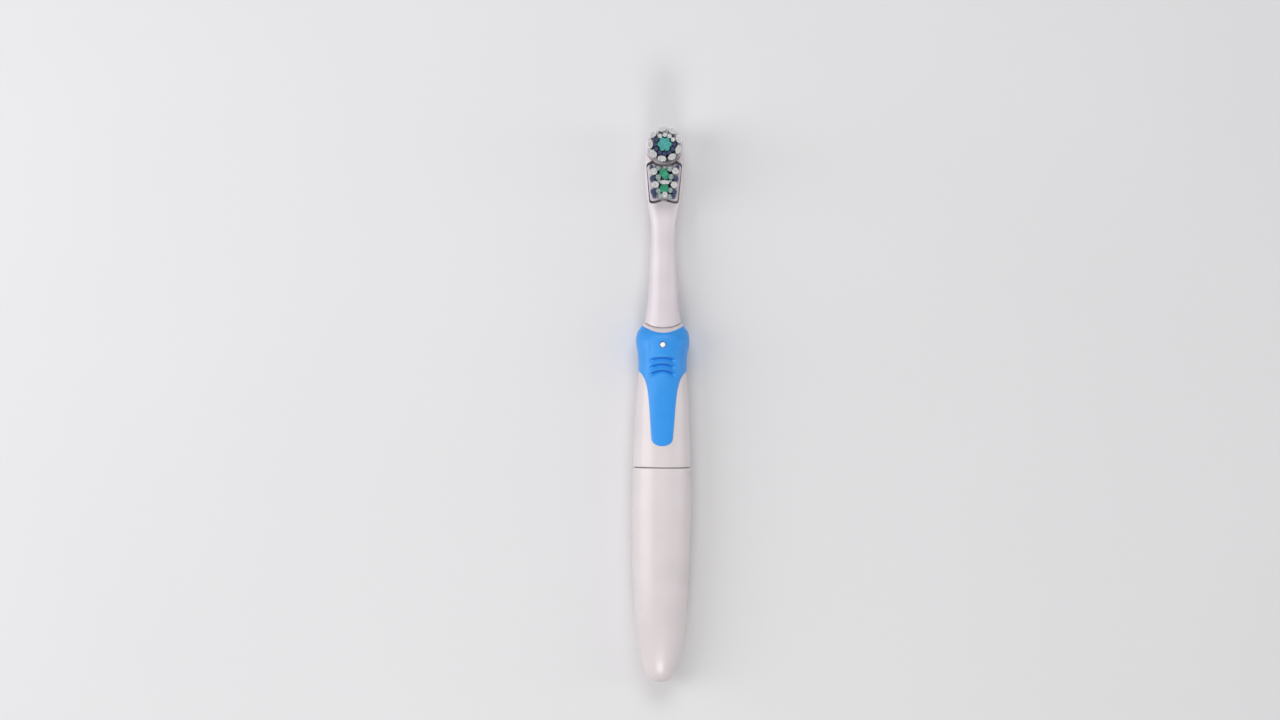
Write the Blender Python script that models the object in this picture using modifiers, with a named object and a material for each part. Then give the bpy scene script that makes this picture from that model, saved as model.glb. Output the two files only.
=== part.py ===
# Battery toothbrush lying on its back: +Y runs to the bristle head, +Z is the bristle side, +X is its right.
# A station is the distance along the brush from the lower tip, and depths are measured from the drive axis.

import math

import bmesh
import bpy
from mathutils import Matrix, Vector

mm = 0.001

# Clearances
gap = 0.3 * mm
press_gap = 0.15 * mm
overrun = 1.0 * mm
merge_distance = 0.01 * mm

# Counts of sides and steps
section_sides = 32
round_sides = 24
disc_sides = 48
small_sides = 16
tip_arc_steps = 12
pad_arc_steps = 10
sharp_angle = 35

# Handle: its walls, and the room that they leave round the cage
shell_wall = 1.4 * mm
side_room = 1.3 * mm
front_room = 1.3 * mm
back_room = 1.7 * mm
rest_room = 0.8 * mm
handle_power = 2.25
cover_floor = 12.0 * mm
lip_dip = 2.3 * mm
lip_dip_run = 15.0 * mm
lip_depth = 6.6 * mm
lip_thickness = 0.6 * mm

# Battery and its cage
tip_room = 25.0 * mm
cell_radius = 7.25 * mm
cell_length = 50.5 * mm
cell_cap_radius = 2.75 * mm
cell_cap_height = 1.2 * mm
cell_edge = 0.7 * mm
cage_wall = 0.85 * mm
cage_floor = 1.3 * mm
cage_opening_height = 2.0 * mm
cage_end_ring = 3.0 * mm
strip_thickness = 0.4 * mm
strip_half_width = 1.5 * mm
spring_radius = 4.4 * mm
spring_wire_radius = 0.4 * mm
spring_length = 6.4 * mm
spring_turns = 3
spring_sides = 10
collar_web = 2.0 * mm
collar_length = 8.5 * mm
collar_reach = 4.0 * mm
collar_hollow_radius = 7.0 * mm
ring_groove_depth = 0.9 * mm
ring_groove_width = 1.7 * mm
ring_groove_setback = 2.9 * mm
slot_width = 1.0 * mm

# Motor
motor_setback = 2.5 * mm
motor_radius = 7.3 * mm
motor_length = 19.7 * mm
motor_boss_radius = 3.0 * mm
motor_boss_length = 1.5 * mm
motor_cap_length = 1.6 * mm
motor_shaft_radius = 0.75 * mm
motor_shaft_depth = 3.0 * mm
terminal_offset = 5.0 * mm
terminal_length = 2.4 * mm
terminal_half_width = 1.0 * mm

# Gears
crown_teeth = 30
pinion_teeth = 10
crown_pitch_radius = 6.0 * mm
crown_face_half_width = 0.55 * mm
crown_rim = 0.35 * mm
tooth_reach = 0.22 * mm
tooth_root = 0.5 * mm
tooth_foot_share = 0.36
tooth_tip_share = 0.16
pinion_foot_share = 0.34
pinion_tip_share = 0.14
pinion_length = 1.8 * mm
crown_disc_thickness = 1.3 * mm
crown_hub_radius = 2.0 * mm
crown_hub_length = 1.6 * mm
axle_radius = 0.75 * mm

# Frame
frame_wall = 0.8 * mm
frame_plate_bottom = 7.2 * mm
frame_plate_thickness = 1.0 * mm
frame_half_width = 4.2 * mm
frame_overhang = 0.4 * mm
cradle_drop = 3.0 * mm
axle_boss_radius = 2.2 * mm
post_setback = 1.85 * mm
post_length = 3.4 * mm
post_half_width = 2.5 * mm
post_top = 2.0 * mm

# Drive shaft, its seal and bush
stroke = 0.8 * mm
shaft_radius = 1.3 * mm
crank_throw = 0.8 * mm
crank_pin_radius = 0.8 * mm
crank_pin_reach = 0.9 * mm
yoke_wall = 1.0 * mm
yoke_half_depth = 1.0 * mm
seal_setback = 2.0 * mm
seal_length = 2.4 * mm
seal_radius = 2.9 * mm
seal_cover = 1.0 * mm
nose_bush_length = 4.0 * mm

# Switch
button_setback = 5.4 * mm
button_radius = 1.1 * mm
button_proud = 0.7 * mm
flange_radius = 2.6 * mm
flange_top = 6.5 * mm
flange_thickness = 1.2 * mm
board_half_width = 3.0 * mm
board_length = 8.8 * mm
board_thickness = 0.8 * mm
blade_half_width = 1.4 * mm
blade_height = 4.3 * mm

# Grip
grip_thickness = 1.0 * mm
grip_wall = 1.2 * mm
grip_wrap_length = 19.0 * mm
grip_tip_setback = 9.0 * mm
grip_top_extra_dip = 1.1 * mm
ridge_count = 3
ridge_steps = 8
ridge_sides = 6
ridge_setback = 10.6 * mm
ridge_pitch = 2.9 * mm
ridge_radius = 0.55 * mm
ridge_half_span = 5.6 * mm
ridge_arch = 1.3 * mm

# Nose that carries the neck
nose_length = 10.0 * mm
nose_half_width = 5.0 * mm
nose_half_depth = 4.3 * mm
nose_power = 2.6

# Neck
neck_length = 79.6 * mm
neck_front = 6.9 * mm
neck_back = 6.9 * mm
neck_dip_length = 9.0 * mm
head_rim = 0.5 * mm

# Round head
head_radius = 7.5 * mm
head_bottom = 0.6 * mm
head_thickness = 1.6 * mm
head_pin_radius = 0.8 * mm
head_pin_depth = 3.0 * mm
crank_peg_offset = 2.4 * mm
crank_peg_radius = 0.7 * mm
crank_peg_height = 1.0 * mm
slot_ceiling = 0.4 * mm
slot_spread = 0.2 * mm
slice_thickness = 0.8 * mm
center_slice_radius = 3.05 * mm
ring_slice_inner = 3.4 * mm
ring_slice_outer = 5.3 * mm

# Lower pad
pad_reach = 22.3 * mm
pad_corner_reach = 9.0 * mm
pad_bottom_half_width = 5.75 * mm
pad_top_half_width = 7.0 * mm
pad_corner_radius = 1.2 * mm
pad_shoulder_share = 0.7
pad_low_share = 0.3
pad_arch = 0.7 * mm
center_column_half_width = 2.2 * mm
center_column_setback = 3.3 * mm

# Bristles
strand_radius = 0.3 * mm
strand_tip_share = 0.8
strand_sides = 3
strand_spacing = 0.68 * mm
bristle_length = 10.4 * mm
center_bristle_length = 9.8 * mm
ring_bristle_length = 9.2 * mm
outer_tuft_radius = 6.5 * mm
ring_tuft_radius = 4.35 * mm
center_tuft_radius = 2.0 * mm
outer_fan = 0.45 * mm
outer_tufts = 14
ring_tufts = 12
center_tufts = 6
tuft_ring_count = 6
full_tuft_count = 7
small_tuft_count = 5
small_tuft_share = 0.85
wide_tuft_count = 13

# Push rod
rod_radius = 1.2 * mm
rod_cup_setback = 1.6 * mm
rod_cup_radius = 2.4 * mm
rod_cup_length = 8.0 * mm
rod_cup_floor = 1.4 * mm
rod_channel_radius = 2.2 * mm
rod_flat_lead = 2.1 * mm
rod_flat_bottom = 1.2 * mm
rod_foot_run = 8.4 * mm
rod_foot_reach = 1.5 * mm
rod_foot_inner = 1.2 * mm
bush_setback = 4.0 * mm
bush_length = 5.0 * mm

# The handle's sizes follow from the cage that it holds
cage_radius = cell_radius + gap + cage_wall
shell_radius = cage_radius + gap + shell_wall
handle_half_width = shell_radius + strip_thickness + gap + side_room
handle_front = shell_radius + front_room
handle_back = shell_radius + back_room
axis_height = shell_radius + rest_room

# Stations from the lower tip to the nose, each piece on from the one before
strip_foot = tip_room + cage_floor + gap
spring_start = strip_foot + strip_thickness + gap
cell_start = spring_start + spring_length + gap
cell_end = cell_start + cell_length
contact_start = cell_end + gap
web_start = contact_start + strip_thickness + gap
collar_start = web_start - collar_web
collar_end = collar_start + collar_length
cover_length = collar_end - collar_reach
housing_start = cover_length + gap
motor_cap_start = collar_end + motor_setback
motor_start = motor_cap_start + motor_cap_length + gap
motor_end = motor_start + motor_length
boss_end = motor_end + motor_boss_length
pinion_start = boss_end + gap
pinion_end = pinion_start + pinion_length
crown_station = pinion_start + pinion_length / 2 + crown_pitch_radius
post_start = crown_station + crown_pitch_radius + crown_face_half_width + post_setback
post_end = post_start + post_length
board_start = post_start - frame_overhang
button_station = board_start + button_setback
seal_station = board_start + board_length + seal_setback
handle_length = seal_station + seal_length + seal_cover
nose_end = handle_length + nose_length

# The grip
grip_tip = cover_length + grip_tip_setback
grip_wrap_start = handle_length - grip_wrap_length
grip_top = handle_length - lip_thickness - gap
ridge_first = button_station - ridge_setback

# Stations of the neck and of what it carries, from its tip back
neck_start = handle_length + gap
neck_half_width = head_radius + head_rim
head_station = neck_start + neck_length - head_radius
pad_corner_station = head_station - pad_corner_reach
pad_bottom_station = head_station - pad_reach
center_column_start = pad_bottom_station + center_column_setback
rod_flat_start = pad_bottom_station - rod_flat_lead
rod_foot_shoulder = head_station - rod_foot_run
bush_end = rod_flat_start - bush_setback
bush_start = bush_end - bush_length
rod_cup_start = nose_end + rod_cup_setback
rod_cup_end = rod_cup_start + rod_cup_length
shaft_end = rod_cup_end - rod_cup_floor - 2 * gap

# Heights and radii of the gears and of the bristles' slices
pinion_pitch_radius = crown_pitch_radius * pinion_teeth / crown_teeth
hub_bottom = -pinion_pitch_radius - tooth_root - crown_disc_thickness - crown_hub_length
axle_top = -pinion_pitch_radius - tooth_root - crown_rim - 2 * gap
head_top = head_bottom + head_thickness
deck_height = head_bottom - gap
slice_bottom = head_top + gap
slice_top = slice_bottom + slice_thickness
strand_base = slice_bottom + slice_thickness / 2
outer_slice_inner = ring_slice_outer + gap
tuft_reach = strand_spacing * math.cos(math.radians(30)) + strand_radius * strand_tip_share
overall_length = head_station + outer_tuft_radius + tuft_reach + outer_fan

# Outline of the handle: station share, then shares of its half width, front depth and back depth
handle_shares = (
    (0.000, 0.10, 0.10, 0.10),
    (0.006, 0.31, 0.32, 0.28),
    (0.016, 0.43, 0.45, 0.40),
    (0.034, 0.55, 0.57, 0.53),
    (0.060, 0.655, 0.68, 0.66),
    (0.095, 0.755, 0.78, 0.78),
    (0.140, 0.835, 0.85, 0.88),
    (0.200, 0.905, 0.92, 0.96),
    (0.280, 0.95, 0.96, 1.00),
    (0.380, 0.99, 0.99, 1.00),
    (0.500, 1.00, 1.00, 1.00),
    (0.620, 0.975, 0.985, 1.00),
    (0.720, 0.93, 0.955, 0.98),
    (0.805, 0.88, 0.91, 0.95),
    (0.845, 0.835, 0.885, 0.935),
    (0.885, 0.80, 0.87, 0.93),
    (0.915, 0.83, 0.88, 0.94),
    (0.952, 0.893, 0.87, 0.94),
    (0.975, 0.84, 0.80, 0.87),
    (0.990, 0.72, 0.69, 0.74),
    (1.000, 0.655, 0.61, 0.60),
)
# Outline of the neck and its tip, from its lower edge: station, width, front, back, then the section's power
neck_shares = (
    (0.000, 0.935, 0.940, 0.940, 2.2),
    (0.012, 0.920, 0.925, 0.925, 2.2),
    (0.035, 0.870, 0.890, 0.890, 2.2),
    (0.087, 0.805, 0.840, 0.840, 2.2),
    (0.138, 0.770, 0.800, 0.800, 2.2),
    (0.240, 0.720, 0.740, 0.740, 2.25),
    (0.344, 0.680, 0.680, 0.680, 2.3),
    (0.420, 0.645, 0.620, 0.620, 2.4),
    (0.475, 0.630, 0.585, 0.585, 2.5),
    (0.515, 0.660, 0.560, 0.560, 2.6),
    (0.550, 0.720, 0.540, 0.540, 2.7),
    (0.585, 0.790, 0.515, 0.530, 2.8),
    (0.615, 0.845, 0.495, 0.525, 2.9),
    (0.655, 0.900, 0.480, 0.520, 3.0),
    (0.705, 0.965, 0.465, 0.520, 3.0),
    (0.770, 1.010, 0.460, 0.520, 3.0),
    (0.825, 1.005, 0.460, 0.520, 3.0),
    (0.860, 0.960, 0.460, 0.510, 2.9),
    (0.900, 0.880, 0.450, 0.500, 2.8),
    (0.945, 0.730, 0.420, 0.470, 2.6),
    (0.975, 0.530, 0.370, 0.410, 2.5),
    (0.992, 0.300, 0.280, 0.310, 2.4),
)
# Stations at which the shells have a ring, as shares of the handle's length
cover_ring_shares = (0.000, 0.006, 0.016, 0.034, 0.060, 0.095, 0.140, 0.200, 0.280, 0.400, 0.520)
cover_cavity_shares = (0.520, 0.360, 0.240, 0.160, 0.110)
housing_ring_shares = (0.700, 0.805, 0.845, 0.885, 0.915, 0.938, 0.958, 0.975, 0.990)
housing_cavity_shares = (0.970, 0.940, 0.885, 0.830, 0.760, 0.660)
# Half width of the grip's tongue: shares of its run up to the wrap, and of the handle's half width
tongue_shares = (
    (0.10, 0.36),
    (0.30, 0.40),
    (0.52, 0.44),
    (0.70, 0.49),
    (0.83, 0.56),
    (0.93, 0.68),
    (1.00, 0.86),
)
# Tufts at the sides of the lower pad, as shares of its length from the bottom and of its half width there
side_tuft_shares = ((0.28, 0.72), (0.47, 0.74), (0.65, 0.74), (0.83, 0.75))
bottom_tuft_shares = (-0.43, 0.0, 0.43)
bottom_tuft_rise_share = 0.11
center_tuft_shares = (0.30, 0.76)


def srgb_channel(value):
    return value / 12.92 if value <= 0.04045 else ((value + 0.055) / 1.055) ** 2.4


def make_material(name, color, roughness, metallic=0.0):
    material = bpy.data.materials.new(name)
    material.use_nodes = True
    shader = material.node_tree.nodes["Principled BSDF"]
    linear = [srgb_channel(value) for value in color]
    shader.inputs["Base Color"].default_value = (*linear, 1.0)
    shader.inputs["Roughness"].default_value = roughness
    shader.inputs["Metallic"].default_value = metallic
    material.diffuse_color = (*linear, 1.0)
    return material


def along(station):
    return station - overall_length / 2


def height(depth):
    return axis_height + depth


def link(name, mesh):
    piece = bpy.data.objects.new(name, mesh)
    parts.objects.link(piece)
    return piece


def from_bmesh(name, shape):
    bmesh.ops.recalc_face_normals(shape, faces=shape.faces)
    mesh = bpy.data.meshes.new(name)
    shape.to_mesh(mesh)
    shape.free()
    return link(name, mesh)


def apply_modifiers(piece):
    graph = bpy.context.evaluated_depsgraph_get()
    mesh = bpy.data.meshes.new_from_object(piece.evaluated_get(graph))
    piece.modifiers.clear()
    piece.data = mesh


def combine(piece, tool, operation):
    modifier = piece.modifiers.new(operation, "BOOLEAN")
    modifier.operation = operation
    modifier.solver = "EXACT"
    modifier.object = tool
    apply_modifiers(piece)
    bpy.data.objects.remove(tool)
    return piece


def cut(piece, *tools):
    for tool in tools:
        combine(piece, tool, "DIFFERENCE")
    return piece


def unite(piece, *tools):
    for tool in tools:
        combine(piece, tool, "UNION")
    return piece


def keep(piece, tool):
    return combine(piece, tool, "INTERSECT")


# A skin over rings of equal counts: capped at both ends, or closed on itself
def loft(name, rings, cyclic=False):
    shape = bmesh.new()
    rows = [[shape.verts.new(point) for point in ring] for ring in rings]
    pairs = list(zip(rows, rows[1:]))
    if cyclic:
        pairs.append((rows[-1], rows[0]))
    for lower, upper in pairs:
        for index in range(len(lower)):
            following = (index + 1) % len(lower)
            shape.faces.new((lower[index], lower[following], upper[following], upper[index]))
    if not cyclic:
        shape.faces.new(rows[0])
        shape.faces.new(rows[-1])
    return from_bmesh(name, shape)


# A solid between two heights over an outline of (x, station) points
def prism(name, outline, bottom, top):
    shape = bmesh.new()
    floor = shape.faces.new([shape.verts.new((x, along(station), height(bottom))) for x, station in outline])
    raised = bmesh.ops.extrude_face_region(shape, geom=[floor])["geom"]
    moved = [item for item in raised if isinstance(item, bmesh.types.BMVert)]
    bmesh.ops.translate(shape, verts=moved, vec=(0, 0, top - bottom))
    return from_bmesh(name, shape)


def box(name, left, right, start, end, bottom, top):
    size = Matrix.Diagonal((right - left, end - start, top - bottom, 1))
    center = Vector(((left + right) / 2, along((start + end) / 2), height((bottom + top) / 2)))
    shape = bmesh.new()
    bmesh.ops.create_cube(shape, size=1, matrix=Matrix.Translation(center) @ size)
    return from_bmesh(name, shape)


def drum(name, radius, length, place, sides):
    shape = bmesh.new()
    bmesh.ops.create_cone(
        shape, cap_ends=True, segments=sides, radius1=radius, radius2=radius, depth=length, matrix=place
    )
    return from_bmesh(name, shape)


def lying_drum(name, radius, start, end, sides=small_sides, side=0, depth=0):
    center = Vector((side, along((start + end) / 2), height(depth)))
    turn = Matrix.Rotation(math.radians(90), 4, "X")
    return drum(name, radius, end - start, Matrix.Translation(center) @ turn, sides)


def standing_drum(name, radius, bottom, top, side, station, sides=small_sides):
    center = Vector((side, along(station), height((bottom + top) / 2)))
    return drum(name, radius, top - bottom, Matrix.Translation(center), sides)


# A profile of (radius, station) points turned about the drive axis
def turned(name, profile, sides, closed=False):
    mesh = bpy.data.meshes.new(name)
    edges = [(index, index + 1) for index in range(len(profile) - 1)]
    if closed:
        edges.append((len(profile) - 1, 0))
    mesh.from_pydata([(radius, along(station), 0) for radius, station in profile], edges, [])
    piece = link(name, mesh)
    screw = piece.modifiers.new("Turn", "SCREW")
    screw.axis = "Y"
    screw.steps = sides
    screw.render_steps = sides
    screw.use_merge_vertices = True
    screw.merge_threshold = merge_distance
    apply_modifiers(piece)
    shape = bmesh.new()
    shape.from_mesh(piece.data)
    bmesh.ops.translate(shape, verts=shape.verts, vec=(0, 0, axis_height))
    bmesh.ops.recalc_face_normals(shape, faces=shape.faces)
    shape.to_mesh(piece.data)
    shape.free()
    return piece


def finish(piece, material, origin=None, carrier=None):
    piece.data.materials.clear()
    piece.data.materials.append(material)
    if origin is not None:
        piece.data.transform(Matrix.Translation(-origin))
        piece.location = origin
    piece.data.shade_smooth()
    piece.data.set_sharp_from_angle(angle=math.radians(sharp_angle))
    if carrier is not None:
        piece.parent = carrier
        piece.matrix_parent_inverse = Matrix.Translation(-carrier.location)
    return piece


def carrier_at(name, place):
    carrier = bpy.data.objects.new(name, None)
    carrier.location = place
    carrier.empty_display_size = shell_wall
    parts.objects.link(carrier)
    return carrier


# A value read from a table of shares, on a curve that doesn't overshoot its points
def smooth_share(table, share, column):
    stops = [row[0] for row in table]
    values = [row[column] for row in table]
    if share <= stops[0]:
        return values[0]
    if share >= stops[-1]:
        return values[-1]
    slopes = [(b - a) / (q - p) for a, b, p, q in zip(values, values[1:], stops, stops[1:])]
    index = max(i for i in range(len(slopes)) if stops[i] <= share)

    def tangent(i):
        if i in (0, len(slopes)):
            return slopes[min(i, len(slopes) - 1)]
        if slopes[i - 1] * slopes[i] <= 0:
            return 0
        return 2 * slopes[i - 1] * slopes[i] / (slopes[i - 1] + slopes[i])

    width = stops[index + 1] - stops[index]
    t = (share - stops[index]) / width
    start, end = values[index], values[index + 1]
    bend = (2 * t**3 - 3 * t**2 + 1) * start + (3 * t**2 - 2 * t**3) * end
    return bend + width * ((t**3 - 2 * t**2 + t) * tangent(index) + (t**3 - t**2) * tangent(index + 1))


# Points round a section, right side first and front second. A dip lowers the front along the brush, and the
# rings of a wall share the one that their outer front has.
def section(station, half_width, front, back, power, floor=0, dip=0, outer_front=None):
    reach = (front if outer_front is None else outer_front) / lip_depth
    points = []
    for index in range(section_sides):
        angle = math.tau * index / section_sides
        across, out = math.cos(angle), math.sin(angle)
        x = half_width * math.copysign(abs(across) ** (2 / power), across)
        depth = (front if out > 0 else back) * math.copysign(abs(out) ** (2 / power), out)
        lowered = dip * min(max(depth / front * reach, 0), 1) ** 2
        points.append(Vector((x, along(station) - lowered, max(height(depth), floor))))
    return points


def lip_dip_at(station):
    share = 1 - (handle_length - station) / lip_dip_run
    return lip_dip * min(max(share, 0), 1) ** 2


def handle_size(station, column, size):
    return size * smooth_share(handle_shares, station / handle_length, column)


def nose_section(station, grow=0, dip=0):
    half_width = nose_half_width + grow
    half_depth = nose_half_depth + grow
    return section(station, half_width, half_depth, half_depth, nose_power, dip=dip)


# A ring inside a piece's end, so that both sides of the parting line bend alike
def end_ring(station):
    return nose_section(station, -gap, lip_dip)


def handle_section(station, inset=0, front_inset=None, extra_dip=0):
    front_inset = inset if front_inset is None else front_inset
    front = handle_size(station, 2, handle_front)
    return section(
        station,
        handle_size(station, 1, handle_half_width) - inset,
        front - front_inset,
        handle_size(station, 3, handle_back) - inset,
        handle_power,
        floor=inset,
        dip=lip_dip_at(station) + extra_dip,
        outer_front=front,
    )


def neck_section(station, inset=0):
    share = (station - neck_start) / neck_length
    fade = max(1 - (station - neck_start) / neck_dip_length, 0)
    return section(
        station,
        neck_half_width * smooth_share(neck_shares, share, 1) - inset,
        neck_front * smooth_share(neck_shares, share, 2) - inset,
        neck_back * smooth_share(neck_shares, share, 3) - inset,
        smooth_share(neck_shares, share, 4),
        dip=lip_dip * fade**2,
    )


def arc_points(center_x, center_station, radius, start, end, steps):
    angles = [math.radians(start + (end - start) * i / steps) for i in range(steps + 1)]
    return [(center_x + radius * math.cos(a), center_station + radius * math.sin(a)) for a in angles]


for item in list(bpy.data.objects):
    bpy.data.objects.remove(item)
parts = bpy.data.collections.new("battery_toothbrush")
bpy.context.scene.collection.children.link(parts)

white_plastic = make_material("white_plastic", (0.89, 0.87, 0.88), 0.3)
blue_rubber = make_material("blue_rubber", (0.18, 0.50, 0.87), 0.5)
gray_plastic = make_material("gray_plastic", (0.55, 0.56, 0.58), 0.5)
black_rubber = make_material("black_rubber", (0.06, 0.06, 0.06), 0.7)
steel = make_material("steel", (0.75, 0.75, 0.76), 0.25, 1.0)
brass = make_material("brass", (0.80, 0.66, 0.36), 0.3, 1.0)
cell_wrap = make_material("cell_wrap", (0.16, 0.17, 0.19), 0.35)
acetal = make_material("acetal", (0.92, 0.91, 0.86), 0.4)
board_material = make_material("board", (0.45, 0.28, 0.12), 0.6)
white_bristle = make_material("white_bristle", (0.92, 0.93, 0.95), 0.4)
blue_bristle = make_material("blue_bristle", (0.30, 0.37, 0.52), 0.4)
green_bristle = make_material("green_bristle", (0.15, 0.55, 0.50), 0.4)

# Places of the moving bodies
head_place = Vector((0, along(head_station), height(head_bottom)))
crown_place = Vector((0, along(crown_station), height(-pinion_pitch_radius)))
handle_carrier = carrier_at("handle_body", Vector((0, along(handle_length / 2), axis_height)))
cover_carrier = carrier_at("cover_body", Vector((0, along(cover_length), axis_height)))
neck_carrier = carrier_at("neck_body", Vector((0, along(neck_start), axis_height)))
rod_carrier = carrier_at("push_rod_body", Vector((0, along(rod_cup_start), axis_height)))
head_carrier = carrier_at("round_head_body", head_place)
rotor_carrier = carrier_at("rotor_body", Vector((0, along(motor_end), axis_height)))
for carried in (rod_carrier, head_carrier):
    carried.parent = neck_carrier
    carried.matrix_parent_inverse = Matrix.Translation(-neck_carrier.location)


# Battery cover: a cup with the handle's outline
def make_battery_cover():
    outer = [handle_section(share * handle_length) for share in cover_ring_shares]
    outer.append(handle_section(cover_length))
    inner = [handle_section(cover_length, shell_wall)]
    inner += [handle_section(share * handle_length, shell_wall) for share in cover_cavity_shares]
    inner.append(handle_section(cover_floor, shell_wall))
    finish(loft("battery_cover", outer + inner), white_plastic, cover_carrier.location.copy(), cover_carrier)


# The grip's outline seen from the front, grown by an allowance
def grip_prism(name, grow):
    run = grip_wrap_start - grip_tip
    right = [(share * handle_half_width + grow, grip_tip + rise * run) for rise, share in tongue_shares]
    tip_radius = tongue_shares[0][1] * handle_half_width + grow
    tip_center = grip_tip + tongue_shares[0][0] * run
    tip = arc_points(0, tip_center, tip_radius, 180, 360, tip_arc_steps)[1:-1]
    wide = handle_half_width + overrun
    top = handle_length + overrun
    right[-1] = (right[-1][0], grip_wrap_start - grow)
    side = right + [(wide, grip_wrap_start - grow), (wide, top)]
    left = [(-x, station) for x, station in reversed(side)]
    tongue = prism(name, tip + side + left, 0, handle_front + overrun)
    wrap = box("wrap", -wide, wide, grip_wrap_start - grow, top, -handle_back - overrun, overrun)
    return unite(tongue, wrap)


# A layer over the handle from a start to its tops, thinner there by a relief
def grip_skin(name, outset, depth, start, tops, relief=0):
    stations = [start] + [share * handle_length for share in housing_ring_shares[:-1]]
    outer = [handle_section(station, -outset) for station in stations]
    outer += [handle_section(top, -outset, extra_dip=grip_top_extra_dip) for top in tops]
    inner = [handle_section(top, depth - relief, extra_dip=grip_top_extra_dip) for top in reversed(tops)]
    inner += [handle_section(station, depth) for station in reversed(stations)]
    return loft(name, outer + inner, cyclic=True)


def make_grip_sleeve():
    sleeve = grip_skin("grip_sleeve", 0, grip_thickness, grip_tip - overrun, [grip_top], press_gap)
    keep(sleeve, grip_prism("grip_outline", 0))
    for index in range(ridge_count):
        station = ridge_first + index * ridge_pitch
        cut(sleeve, make_ridge_cutter(station))
    hole = standing_drum("button_hole", button_radius + gap, 0, handle_front + overrun, 0, button_station)
    finish(cut(sleeve, hole), blue_rubber, None, handle_carrier)


# An arched groove across the grip's front
def make_ridge_cutter(station):
    surface = handle_size(station, 2, handle_front)
    rings = []
    for step in range(ridge_steps + 1):
        share = 2 * step / ridge_steps - 1
        x = share * ridge_half_span
        arch = ridge_arch * (1 - share**2)
        width = handle_size(station, 1, handle_half_width)
        depth = surface * (1 - abs(x / width) ** handle_power) ** (1 / handle_power)
        fade = ridge_radius * (1 - abs(share) ** 3) + merge_distance
        ring = []
        for corner in range(ridge_sides):
            angle = math.tau * corner / ridge_sides
            out = Vector((0, math.cos(angle) * fade, math.sin(angle) * fade))
            ring.append(Vector((x, along(station + arch), height(depth))) + out)
        rings.append(ring)
    return loft("ridge", rings)


# Upper housing: a shell with a recess for the grip and a nose for the neck
def make_upper_housing():
    stations = [share * handle_length for share in housing_ring_shares]
    outer = [handle_section(housing_start)] + [handle_section(station) for station in stations]
    outer.append(handle_section(handle_length))
    outer.append(end_ring(handle_length))
    housing = loft("upper_housing", outer)
    nose_rings = [
        nose_section(handle_length - nose_length / 2),
        nose_section(nose_end - lip_thickness),
        nose_section(nose_end, -lip_thickness),
    ]
    recess_tops = [grip_top, grip_top + gap]
    recess = grip_skin("recess", overrun, grip_thickness + gap, grip_tip - overrun - gap, recess_tops)
    keep(recess, grip_prism("recess_outline", gap))
    cut(housing, recess)
    unite(housing, loft("nose", nose_rings))
    deep = grip_thickness + gap + grip_wall
    cavity_rings = [handle_section(housing_start - overrun, shell_wall)]
    cavity_rings.append(handle_section(collar_end + gap, shell_wall))
    for share in reversed(housing_cavity_shares):
        station = share * handle_length
        inset = deep if station > grip_wrap_start - deep else shell_wall
        cavity_rings.append(handle_section(station, inset, deep))
    bore = lying_drum("bore", shaft_radius + gap, seal_station, nose_end + overrun)
    pocket = lying_drum(
        "pocket", seal_radius + gap, seal_station - 2 * overrun, seal_station + seal_length + gap
    )
    nose_pocket = lying_drum(
        "nose_pocket", seal_radius + press_gap, nose_end - nose_bush_length - gap, nose_end + overrun,
        round_sides,
    )
    hole = standing_drum("button_hole", button_radius + gap, 0, handle_front, 0, button_station)
    cut(housing, loft("cavity", cavity_rings), bore, pocket, nose_pocket, hole)
    finish(housing, white_plastic, None, handle_carrier)


# Battery cage: a cradle for the cell, with the collar that joins cover and housing
def make_battery_cage():
    inner = cell_radius + gap
    outer = cage_radius
    cage = lying_drum("battery_cage", outer, tip_room, web_start, round_sides)
    inset = shell_wall + gap
    groove = inset + ring_groove_depth
    groove_start = cover_length - ring_groove_setback
    groove_end = groove_start + ring_groove_width
    collar = loft(
        "collar",
        [
            handle_section(collar_start, inset),
            handle_section(groove_start, inset),
            handle_section(groove_start, groove),
            handle_section(groove_end, groove),
            handle_section(groove_end, inset),
            handle_section(collar_end, inset),
        ],
    )
    unite(cage, collar)
    hollow = lying_drum("hollow", inner, tip_room + cage_floor, web_start, round_sides)
    upper_hollow = lying_drum(
        "upper", collar_hollow_radius, web_start + collar_web, collar_end + overrun, round_sides
    )
    window = box(
        "window", -outer - overrun, outer + overrun, cell_start, collar_start - cage_end_ring,
        cage_opening_height, outer + overrun,
    )
    strip_x = outer + gap
    half_slot = slot_width / 2
    negative_slot = box(
        "negative_slot", strip_x - half_slot, strip_x + strip_thickness + half_slot,
        collar_start - overrun, collar_end + overrun, -strip_half_width - gap, strip_half_width + gap,
    )
    foot_slot = box(
        "foot_slot", inner - overrun, outer + overrun,
        tip_room + cage_floor, strip_foot + strip_thickness + gap,
        -strip_half_width - gap, strip_half_width + gap,
    )
    positive_slot = box(
        "positive_slot", -terminal_offset - half_slot, -terminal_offset + half_slot,
        web_start - overrun, web_start + collar_web + overrun,
        -strip_half_width - gap, strip_half_width + gap,
    )
    cut(cage, hollow, upper_hollow, window, negative_slot, foot_slot, positive_slot)
    finish(cage, gray_plastic, None, handle_carrier)


# Ring seal round the collar
def make_cover_o_ring():
    middle = cover_length - ring_groove_setback + ring_groove_width / 2
    radius = (ring_groove_depth - press_gap) / 2
    inset = shell_wall + gap + ring_groove_depth - press_gap - radius
    curve = bpy.data.curves.new("cover_o_ring", "CURVE")
    curve.dimensions = "3D"
    curve.bevel_depth = radius
    curve.bevel_resolution = 1
    points = handle_section(middle, inset)
    spline = curve.splines.new("POLY")
    spline.points.add(len(points) - 1)
    for target, point in zip(spline.points, points):
        target.co = (*point, 1)
    spline.use_cyclic_u = True
    finish(curve_to_piece("cover_o_ring", curve), black_rubber, None, handle_carrier)


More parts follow.
